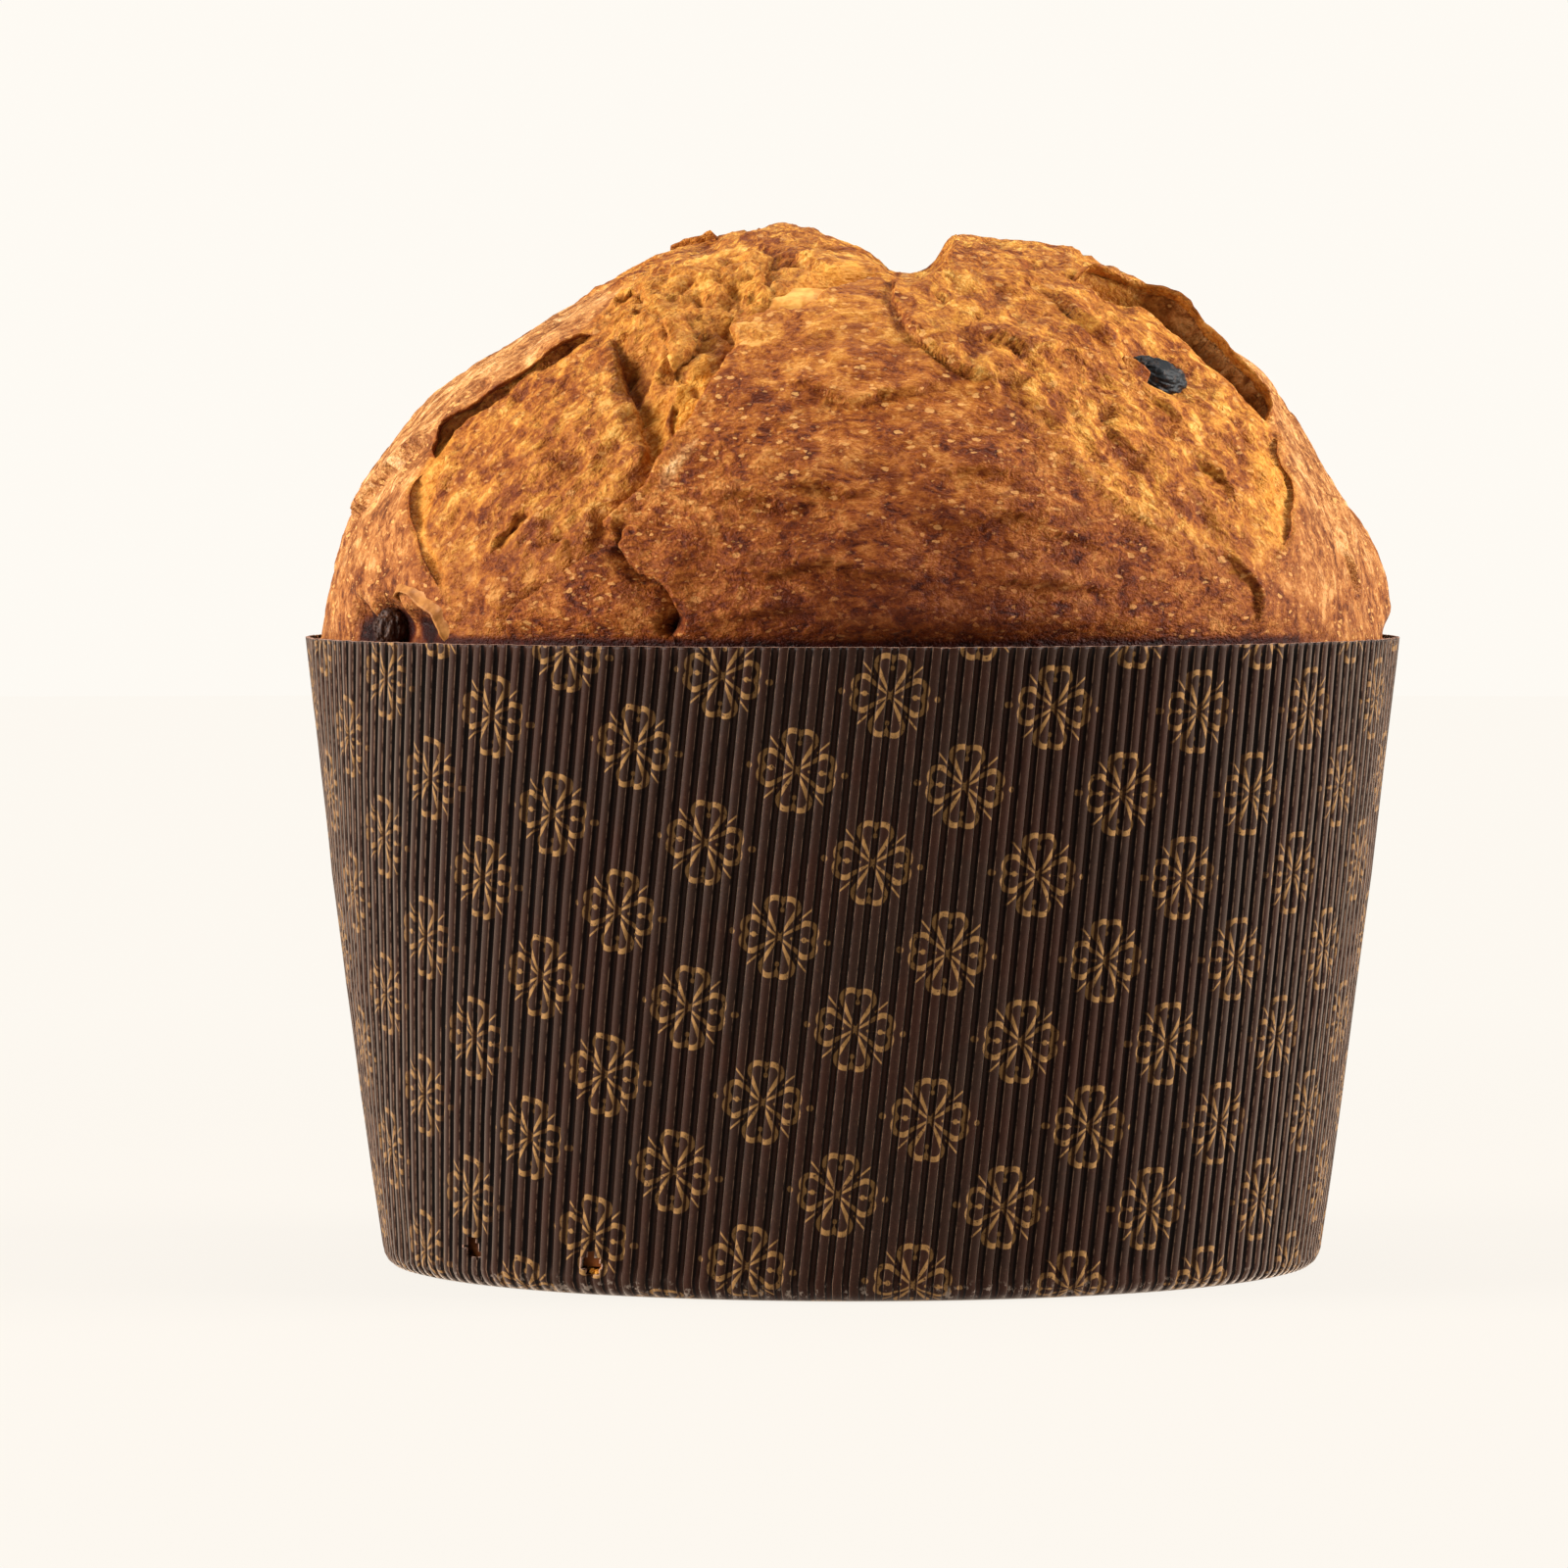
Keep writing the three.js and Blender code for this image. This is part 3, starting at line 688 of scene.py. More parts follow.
def colour_masks(crown):
    """Where the crust is torn, darker, open crumb, tan, or has strands that run upwards. The dark
    mask holds a darker bake and painted shade; the tan mask holds a real tan patch and painted
    sheen on the flanks. Each mask joins soft outlines with eased bands of elevation and of
    azimuth. Returns the tattered part."""
    elevation, ragged = crown.elevation, crown.ragged.T
    torn = np.zeros(len(crown.height))
    for outline in (LEFT_TEAR, RIGHT_TEAR, BACK_LEFT_TEAR, BACK_RIGHT_TEAR):
        torn = np.maximum(torn, 0.85 * crown.inside(outline, 4.5, 2.5))
    flap = crown.inside(FRONT_FLAP, 1.2, 0.8)
    summit = smooth_step(56.0, 62.0, elevation + 6.0 * ragged[0])
    torn = np.maximum(torn, summit * (1.0 - flap))
    flap_top = smooth_step(28.0, 52.0, elevation + 4.0 * ragged[1])
    torn = np.maximum(torn, 0.6 * flap * flap_top)
    torn = torn * (1.0 - 0.6 * crown.inside(FOOT_LOBE, 3.0, 1.5))
    torn = torn * (0.45 + 0.55 * smooth_step(2.0, 20.0, elevation))
    # Darker low down and towards the front: partly a darker bake, partly painted shade where the
    # front faces away from the side lamps.
    low = smooth_step(30.0, 2.0, elevation)
    front = np.exp(-(((crown.azimuth - 6.0) / 36.0) ** 2))
    bake_and_shade = 0.04 + low * (0.16 + 0.3 * front) * (1.0 - 0.3 * torn)
    bake_and_shade += 0.22 * front * smooth_step(46.0, 22.0, elevation) * (1.0 - torn)
    crown.masks["torn"] = torn
    crown.deepen("bake_and_shade", bake_and_shade)
    crown.masks["bake_and_shade"] += 0.2 * crown.inside(LEFT_TEAR, 4.0, 2.0)
    for outline, share in ((FLAP_FACE, 1.0), (LEFT_STRIP, 0.5), (RIGHT_STRIP, 0.5)):
        crown.deepen("crumb", share * crown.inside(outline, 0.9, 0.9))
    # Painted shade on the strip of crust that tucks in behind the rim at the front.
    foot = smooth_step(2.6, 0.4, elevation) * smooth_step(72.0, 50.0, np.abs(crown.azimuth))
    crown.deepen("bake_and_shade", 0.9 * foot)
    tatters = crown.inside(TATTERS, 2.5, 1.5)
    crown.deepen("torn", tatters)
    crown.deepen("crumb", 0.35 * tatters)
    crown.deepen("crumb", 0.6 * crown.inside(CREST_CAVE, 1.5, 1.0))
    level = np.maximum(np.cos(np.radians(elevation)), 0.05)
    sideways = np.abs(crown.direction[:, 0]) / level
    crown.masks["upright"] = smooth_step(0.7, 0.9, sideways) * (1.0 - torn)
    # Painted sheen: flanks that face the side lamps turn paler, less so low down; the smooth patch
    # is a real tan patch.
    pale = 0.75 * smooth_step(0.55, 0.95, sideways) * (1.0 - torn)
    pale *= 0.45 + 0.55 * smooth_step(6.0, 28.0, elevation + 5.0 * ragged[2])
    crown.masks["tan"] = np.maximum(0.9 * crown.inside(SMOOTH_PATCH, 0.5, 0.4), pale)
    return tatters


def roughen(crown, tatters):
    """Fine relief over everything: soft undulations, strands on the crust, and rolls, fibre and
    shreds in torn dough. Strands are noise stretched along the way that the dough was drawn; rolls,
    fibre and shreds are one less the size of such noise, which is 0 along their crests."""
    points = crown.points()
    torn, upright, crumb = (crown.masks[name] for name in ("torn", "upright", "crumb"))
    warped = points + 2.2 * crown.ragged
    slanted = slanted_places(warped)
    strands = (1.0 - upright) * fractal_noise(warped / np.array([6.0, 6.0, 3.3]), 21, 3, 0.6)
    strands += upright * fractal_noise(warped / np.array([6.0, 4.0, 6.0]), 22, 3, 0.6)
    waves = fractal_noise(points / 17.0, 23, 3)
    lumps = fractal_noise(points / 6.0, 24, 4, 0.6)
    rolls = 1.0 - np.sqrt(fractal_noise(slanted / 8.5, 25, 3, 0.5) ** 2 + 0.004) * 3.4
    fibre = 1.0 - np.abs(fractal_noise(slanted / 3.6, 28, 3, 0.6)) * 3.0
    tattered = (points + 3.0 * crown.ragged) / np.array([3.2, 6.0, 5.0])
    shreds = 1.0 - np.abs(fractal_noise(tattered, 27, 3, 0.6)) * 3.0
    pores = smooth_step(0.35, 0.7, value_noise(points / 1.5, 26))
    crown.height += 1.1 * waves + 0.7 * strands * (1.0 - 0.6 * torn) + 0.3 * lumps
    crown.height += torn * (0.5 * lumps + 0.95 * rolls + 0.3 * fibre) - crumb * (0.9 * pores - 0.2)
    crown.height += tatters * (1.2 * shreds + 1.1 * lumps)
    # Painted shade in the troughs between rolls and between shreds; open crumb is lighter, with
    # painted shade in its pores.
    crown.masks["bake_and_shade"] += 0.3 * torn * smooth_step(0.2, -0.9, rolls) * (1.0 - tatters)
    crown.masks["bake_and_shade"] += 0.25 * tatters * smooth_step(0.1, -0.9, shreds)
    crown.masks["bake_and_shade"] *= 1.0 - 0.7 * crumb
    crown.deepen("bake_and_shade", 0.5 * crumb * pores)


def concentric_grid(cells):
    """A square grid carried to a disc: rings of the square become rings of the disc. The disc is
    drawn towards the front, where the cells become a quarter smaller, and the distance from its
    middle becomes the angle down from the crown."""
    line = np.linspace(-1.0, 1.0, cells + 1)
    east, north = np.meshgrid(line, line)
    east, north = east.ravel(), north.ravel()
    wide = np.abs(east) > np.abs(north)
    ring = np.where(wide, east, north)
    other = np.where(wide, north, east)
    ratio = np.divide(other, ring, out=np.zeros_like(ring), where=ring != 0)
    turn = np.where(wide, np.pi / 4 * ratio, np.pi / 2 - np.pi / 4 * ratio)
    spot = ring * np.cos(turn) + 1j * ring * np.sin(turn)
    drawn = -1j * (1j * spot + FRONT_DRAW) / (1.0 + FRONT_DRAW * 1j * spot)
    out = np.abs(drawn)
    fall = np.pi / 2 * out
    level = np.sin(fall) / np.maximum(out, 1e-9)
    return np.stack([drawn.real * level, drawn.imag * level, np.cos(fall)], -1)


def rim_ring(cells):
    """Vertex numbers round the square grid's border, anticlockwise seen from above."""
    index = np.arange((cells + 1) ** 2).reshape(cells + 1, cells + 1)
    return np.concatenate([index[0, :-1], index[:-1, -1], index[-1, :0:-1], index[:0:-1, 0]])


def loaf_side(ring_points):
    """The loaf inside the mould: rings that follow the liner down, a rounded bottom corner, and
    pits where the skewers ran. Returns one array of points for each ring."""
    turn = np.arctan2(ring_points[:, 1], ring_points[:, 0])
    azimuth = azimuth_of(ring_points)
    by_the_holes = np.arange(9.4, 2.9, -0.6)
    heights = np.concatenate([
        [LINER_TOP, 104.0, 80.0, 45.0, 18.0], by_the_holes, [LOAF_BOTTOM + 0.5],
    ])
    rings = []
    for height in heights:
        corner = max(0.0, CORNER_HEIGHT - height) ** 2 * 0.16
        plain = RIM_RADIUS - (RIM_HEIGHT - height) * FLARE - LOAF_INSET - corner
        radius = np.full(len(turn), plain)
        for hole, level in SKEWERS:
            aside = np.radians(turn_from(hole, azimuth)) * radius
            reach = np.hypot(aside / SKEWER_HALVES[0], (height - level) / SKEWER_HALVES[1])
            radius = radius - SKEWER_DEPTH * smooth_step(1.1, 0.9, reach)
        level_ring = (radius * np.cos(turn), radius * np.sin(turn), np.full(len(turn), height))
        rings.append(np.stack(level_ring, -1))
    flat = np.array([0.985, 0.985, 0.0])
    rings.append(rings[-1] * flat + np.array([0.0, 0.0, LOAF_BOTTOM]))
    return rings


def shaped_crown(cells):
    """The crown with all its flaps, folds, tears and fine relief. Its foot is tucked in behind the
    liner, deeper beside the right flap, by the raisin and at the notch."""
    crown = Crown(concentric_grid(cells))
    for shape in (shape_quarters, shape_cleft, shape_front, shape_summit,
                  shape_left, shape_right, shape_back):
        shape(crown)
    roughen(crown, colour_masks(crown))
    crown.settle(48.6, 41.0, 7.4, -3.1)
    tuck = smooth_step(4.0, 0.0, crown.elevation)
    hug = 0.4 + 1.6 * np.exp(-(((crown.azimuth - 18.0) / 16.0) ** 4))
    hug += (3.4 * np.exp(-(((crown.azimuth + 58.0) / 8.0) ** 4))
            + 1.0 * np.exp(-(((crown.azimuth + 39.0) / 3.0) ** 2)))
    crown.height = crown.height * (1.0 - tuck) - hug * tuck
    return crown


def build_loaf(crown, cells):
    """The whole loaf as one closed surface: the shaped crown, then rings down to its flat base."""
    points = crown.points()
    ring = rim_ring(cells)
    below = np.vstack(loaf_side(points[ring]))
    count = len(ring)
    first = len(points)
    numbers = np.vstack([ring, first + np.arange(len(below)).reshape(-1, count)])
    after = np.roll(numbers, -1, axis=1)
    side_faces = np.stack([numbers[:-1], numbers[1:], after[1:], after[:-1]], -1).reshape(-1, 4)
    middle = np.full(count, first + len(below))
    base = np.stack([numbers[-1], middle, after[-1]], -1)
    quads = np.vstack([grid_quads(cells + 1, cells + 1), side_faces])
    triangles = np.vstack([split_quads(quads), base])
    all_points = np.vstack([points, below, [[0.0, 0.0, LOAF_BOTTOM]]])
    piece = mesh_piece("loaf_crust", all_points, triangles)
    for name, values in crown.masks.items():
        hidden = np.full(len(below) + 1, HIDDEN_MASKS.get(name, 0.0))
        store(piece, name, np.concatenate([np.clip(values, 0.0, 1.0), hidden]))
    store_places(piece, "slant", slanted_places(all_points))
    return piece


def build_lip(name, crown, spots, raised, root, hang, rise, thickness, seed,
              torn=0.3, shade=0.6, glow=0.0):
    """A curled lip of crust as a closed band. Its section leaves the crust at the root, climbs to
    its edge, which hangs over the gap, and is thinner there; the section is carried along the
    route on the shaped crown, sinks into it at both ends, and wavers with noise."""
    route = smooth_curve(spots, 14)
    direction = direction_at(route[:, 0], route[:, 1])
    middle, normal = dome_point(direction), dome_normal(direction)
    travel = np.gradient(middle, axis=0)
    side = raised * np.cross(normal, travel)
    side /= np.linalg.norm(side, axis=1, keepdims=True)
    start = middle + side * root
    nearest = [np.argmin(((crown.plain - spot) ** 2).sum(1)) for spot in start]
    level = np.pad(crown.height[nearest], 6, mode="edge")
    level = np.convolve(level, np.full(13, 1 / 13), mode="valid")
    share = np.linspace(0.0, 1.0, len(route))
    fade = smooth_step(0.0, 0.12, share) * smooth_step(0.0, 0.12, 1.0 - share)
    wide = fractal_noise(middle / 7.0, seed, 3, 0.6)
    fine = fractal_noise(middle / 1.6, seed + 5, 2)
    edge_reach = -hang * (0.75 + 0.9 * wide + 0.35 * fine)
    edge_rise = rise * (1.0 + 0.35 * wide)
    across = np.concatenate([np.linspace(0.0, 1.0, 12), np.linspace(1.0, 0.0, 12)])
    under = np.concatenate([np.zeros(12), np.ones(12)])
    thin = thickness * (1.15 - 0.75 * across**2) * under
    out = root + (edge_reach[:, None] - root) * across
    up = level[:, None] - 0.5 + (edge_rise[:, None] + 0.5) * across**1.7 * fade[:, None] - thin
    up = up - 1.6 * (1.0 - fade[:, None])
    points = middle[:, None] + side[:, None] * out[..., None] + normal[:, None] * up[..., None]
    rows, columns = points.shape[:2]
    grain = fractal_noise(points.reshape(-1, 3) / 2.4, seed + 9, 3).reshape(rows, columns, 1)
    points = points + normal[:, None] * grain * 0.35
    here = np.arange(columns)
    after = np.roll(here, -1)
    last = (rows - 1) * columns
    total = rows * columns
    caps = np.vstack([
        np.stack([after, here, np.full(columns, total)], -1),
        np.stack([last + here, last + after, np.full(columns, total + 1)], -1),
    ])
    triangles = np.vstack([split_quads(grid_quads(rows, columns, True)), caps])
    if raised > 0:
        triangles = triangles[:, ::-1]
    points = np.vstack([points.reshape(-1, 3), points[0].mean(0), points[-1].mean(0)])
    piece = mesh_piece(name, points, triangles)
    under = np.tile(under, rows)
    none = np.zeros(total)
    # The underside gets painted shade as far as shade says, and open crumb's gold as far as glow
    # says.
    for mask, values in zip(MASKS, (torn * (0.3 + under), 0.2 + shade * under, glow * under,
                                    none + 0.5, none)):
        store(piece, mask, np.append(np.clip(values, 0.0, 1.0), [0.0, 0.0]))
    store_places(piece, "slant", slanted_places(points))
    return piece


# ---------------------------------------------------------------- the paper mould


def wall_radius(height):
    """The mould's outer radius: a straight cone with a slight swell half way up."""
    return RIM_RADIUS - (RIM_HEIGHT - height) * FLARE + 0.6 * np.sin(np.pi * height / RIM_HEIGHT)


# One flute: how far along its pitch each vertex column stands, and how deep it sinks there.
FLUTE_STOPS = np.array([0.0, 0.12, 0.20, 0.27, 0.73, 0.80, 0.88])
FLUTE_SINK = np.array([1.0, 0.98, 0.45, 0.0, 0.0, 0.45, 0.98])


def build_fluting(sizes):
    """The corrugated sheet. The flutes are parallel lines on the flat sheet, which is cut as an arc
    and rolled into a cone: a vertex column keeps its distance from the sheet's middle line, and its
    rows climb from the fold, or from the cut end, to the rim. Below them the sheet turns in on a
    quarter circle and lies flat under the loaf."""
    pitch = sizes.flute_pitch / MM
    depth = sizes.flute_depth / MM
    half = math.pi * SHEET_SINE
    lap = LAP_WIDTH / SHEET_RADIUS
    count = int(SHEET_RADIUS * math.sin(half) / pitch)
    rib = np.arange(-count, count + 1)
    aside = ((rib[:, None] + FLUTE_STOPS) * pitch).ravel()
    sink = np.tile(FLUTE_SINK, len(rib))
    kept = (aside > -SHEET_RADIUS * math.sin(half)) & (aside < SHEET_RADIUS * math.sin(half + lap))
    aside, sink = aside[kept], sink[kept]
    heights = np.concatenate([
        [FOLD_BEND], np.arange(3.7, 9.3, 0.5),
        [11.0, 16.0, 30.0, 50.0, 70.0, 88.0, 100.0, 107.0, 109.6, 110.8, 111.5, RIM_HEIGHT],
    ])
    slant = SHEET_RADIUS - (RIM_HEIGHT - heights) / SHEET_COSINE
    limit = np.where(aside < 0, half, half + lap)
    cut = np.abs(aside) / np.tan(limit)
    inside = np.abs(aside)[None, :] < slant[:, None] * np.sin(limit)[None, :]
    along = np.sqrt(np.maximum(slant[:, None] ** 2 - aside[None, :] ** 2, 0.0))
    along = np.where(inside, along, cut[None, :])
    reach = np.hypot(aside[None, :], along)
    azimuth = np.radians(SHEET_MIDDLE) + np.arctan2(aside[None, :], along) / SHEET_SINE
    height = RIM_HEIGHT - (SHEET_RADIUS - reach) * SHEET_COSINE
    wobble = np.stack([azimuth * 14.0, height / 22.0, azimuth * 0.0], -1)
    stray = value_noise(wobble.reshape(-1, 3), 41).reshape(height.shape)
    each = line_noise(np.round(aside / pitch) * 3.7, 42)
    crush = 0.6 + 0.4 * smooth_step(2.6, 6.0, height + 1.2 * each)
    pinch = 0.45 + 0.55 * smooth_step(0.0, 2.2, RIM_HEIGHT - height)
    lapped = 0.9 * smooth_step(half - 0.002, half + 0.002, np.arctan2(aside[None, :], along))
    relief = depth * (1.0 + 0.12 * each) * sink
    radius = wall_radius(height) + 0.25 * stray + lapped - relief * crush * pinch
    rise = height + np.where(heights == RIM_HEIGHT, 0.15, 0.0)[:, None] * each
    wall = np.stack([radius * np.sin(azimuth), -radius * np.cos(azimuth), rise], -1)
    turned = np.radians([90.0, 90.0, 90.0, 62.0, 40.0, 18.0])
    inward = np.array([9.2, 3.0, 0.0, 0.0, 0.0, 0.0])
    fold_radius = wall_radius(FOLD_BEND) - FOLD_BEND * (1.0 - np.cos(turned)) - inward
    fold_radius = fold_radius[:, None] - (0.7 + 0.3 * each) * relief * np.cos(turned)[:, None]
    fold_height = np.tile((FOLD_BEND * (1.0 - np.sin(turned)))[:, None], len(aside))
    fold_turn = azimuth[0]
    fold = (fold_radius * np.sin(fold_turn), -fold_radius * np.cos(fold_turn), fold_height)
    fold = np.stack(fold, -1)
    points = np.concatenate([fold, wall])
    rows, columns = points.shape[:2]
    first = np.argmax(inside, axis=0)
    lowest = np.where(first > 0, len(turned) + first - 1, 0)
    row_number = np.maximum(np.arange(rows)[:, None], lowest[None, :])
    number = row_number * columns + np.arange(columns)[None, :]
    quads = np.stack([number[:-1, :-1], number[:-1, 1:], number[1:, 1:], number[1:, :-1]], -1)
    centre = (points[:-1, :-1] + points[1:, 1:]) / 2
    quads = quads.reshape(-1, 4)[~skewer_hole(centre.reshape(-1, 3))]
    triangles = split_quads(quads)
    distinct = (triangles[:, 0] != triangles[:, 1]) & (triangles[:, 1] != triangles[:, 2])
    triangles = triangles[distinct & (triangles[:, 0] != triangles[:, 2])]
    piece = mesh_piece("wall_fluting_sheet", points.reshape(-1, 3), triangles)
    below = np.linspace(-13.0, -1.0, len(turned))[:, None] + along[:1]
    flat = np.stack([np.tile(aside, (rows, 1)), np.vstack([below, along]) - SHEET_RADIUS], -1)
    store_uv(piece, flat.reshape(-1, 2))
    store(piece, "sink", np.tile(sink, rows))
    drop_loose(piece)
    return piece


def skewer_hole(points):
    """True where a point of the wall lies inside one of the ragged skewer holes."""
    azimuth = azimuth_of(points)
    radius = np.hypot(points[:, 0], points[:, 1])
    edge = 1.0 + 0.22 * value_noise(points * 1.6, 51)
    gone = np.zeros(len(points), dtype=bool)
    for hole, level in SKEWERS:
        aside = np.radians(turn_from(hole, azimuth)) * radius / SKEWER_HALVES[0]
        gone |= np.hypot(aside, (points[:, 2] - level) / SKEWER_HALVES[1]) < edge
    return gone


def drop_loose(piece):
    """Deletes vertices that no face uses."""
    shell = bmesh.new()
    shell.from_mesh(piece.data)
    bmesh.ops.delete(shell, geom=[v for v in shell.verts if not v.link_faces], context="VERTS")
    shell.to_mesh(piece.data)
    shell.free()


def build_liner():
    """The smooth inner sheet: a cone that follows the fluting's inside, a little uneven."""
    columns = 420
    heights = np.array([LINER_BOTTOM, 20.0, 50.0, 80.0, 100.0, 108.0, LINER_TOP])
    turn = np.linspace(0.0, 2 * np.pi, columns, endpoint=False)
    height = np.repeat(heights[:, None], columns, axis=1)
    turn = np.broadcast_to(turn, height.shape)
    wave = np.stack([np.cos(turn) * 5, np.sin(turn) * 5, height / 30.0], -1)
    stray = value_noise(wave.reshape(-1, 3), 61).reshape(height.shape)
    radius = RIM_RADIUS - (RIM_HEIGHT - height) * FLARE - LINER_INSET + 0.12 * stray
    rise = height + 0.25 * stray * (height >= LINER_TOP)
    points = np.stack([radius * np.cos(turn), radius * np.sin(turn), rise], -1).reshape(-1, 3)
    quads = grid_quads(len(heights), columns, True)
    middle = points[quads].mean(1)
    return mesh_piece("wall_liner_sheet", points, quads[~skewer_hole(middle)])


def build_crumbs():
    """Crumbs caught in the lower skewer hole: small dented balls, joined into one mesh."""
    hole, level = SKEWERS[1]
    ball, faces = ball_grid(14, 20)
    radius = wall_radius(level) - 2.0
    points, triangles = [], []
    for index, (aside, rise, size) in enumerate(CRUMBS):
        turn = math.radians(hole) + aside / radius
        middle = np.array([radius * math.sin(turn), -radius * math.cos(turn), level + rise])
        dents = 1.0 + 0.3 * value_noise(ball * 2.0 + index * 7.0, 71)
        points.append(middle + ball * dents[:, None] * size)
        triangles.append(faces + index * len(ball))
    points = np.vstack(points)
    piece = mesh_piece("skewer_hole_crumbs", points, np.vstack(triangles))
    for name, value in zip(MASKS, (1.0, 0.0, 0.8, 0.0, 0.0)):
        store(piece, name, np.full(len(points), value))
    store_places(piece, "slant", slanted_places(points))
    return piece


# ---------------------------------------------------------------- fruit


def node_axes(node):
    """A CAD node's middle, its three main directions and its half-lengths along them."""
    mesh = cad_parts[node].data
    points = np.empty(len(mesh.vertices) * 3)
    mesh.vertices.foreach_get("co", points)
    points = np.unique(np.round(points.reshape(-1, 3) / MM, 3), axis=0)
    middle = (points.min(0) + points.max(0)) / 2
    _, _, axes = np.linalg.svd(points - middle, full_matrices=False)
    if np.linalg.det(axes) < 0:
        axes[2] = -axes[2]
    halves = np.abs((points - middle) @ axes.T).max(0)
    return middle, axes, halves


def ball_grid(rows, columns):
    """Unit directions of a closed ball: one vertex at each pole and rings between them."""
    rise = np.linspace(-np.pi / 2, np.pi / 2, rows + 1)[1:-1]
    turn = np.linspace(0, 2 * np.pi, columns, endpoint=False)
    rise, turn = np.meshgrid(rise, turn, indexing="ij")
    ring = np.stack([np.cos(rise) * np.cos(turn), np.cos(rise) * np.sin(turn), np.sin(rise)], -1)
    points = np.vstack([ring.reshape(-1, 3), [[0, 0, -1], [0, 0, 1]]])
    quads = grid_quads(rows - 1, columns, True)
    south, north = len(points) - 2, len(points) - 1
    here = np.arange(columns)
    after = np.roll(here, -1)
    top = (rows - 2) * columns
    caps = np.vstack([
        np.stack([np.full(columns, south), after, here], -1),
        np.stack([np.full(columns, north), top + here, top + after], -1),
    ])
    return points, np.vstack([split_quads(quads), caps])


def build_raisin(node, seed, sunk):
    """A raisin, sunk by some millimetres: an ellipsoid that folded noise pulls into wrinkles."""
    middle, axes, halves = node_axes(node)
    middle = middle - np.array([0.0, 0.0, sunk])
    ball, faces = ball_grid(70, 110)
    folds = np.abs(fractal_noise(ball * np.array([1.1, 2.6, 2.6]) + seed, seed, 4, 0.55))
    grow = 1.12 - 0.16 * (1.0 - np.minimum(folds * 3.0, 1.0))
    grow = grow + 0.08 * value_noise(ball * 1.7, seed + 7)
    points = middle + (ball * grow[:, None] * halves) @ axes
    return mesh_piece(node + "_skin", points, faces)


def build_peel(node, seed):
    """A chunk of candied peel: a soft-cornered block with dents."""
    middle, axes, halves = node_axes(node)
    ball, faces = ball_grid(60, 90)
    block = np.sign(ball) * np.abs(ball) ** 0.75
    dents = 1.0 + 0.08 * fractal_noise(ball * 2.4 + seed, seed, 3)
    points = middle + (block * dents[:, None] * halves) @ axes
    return mesh_piece(node + "_flesh", points, faces)


# ---------------------------------------------------------------- materials


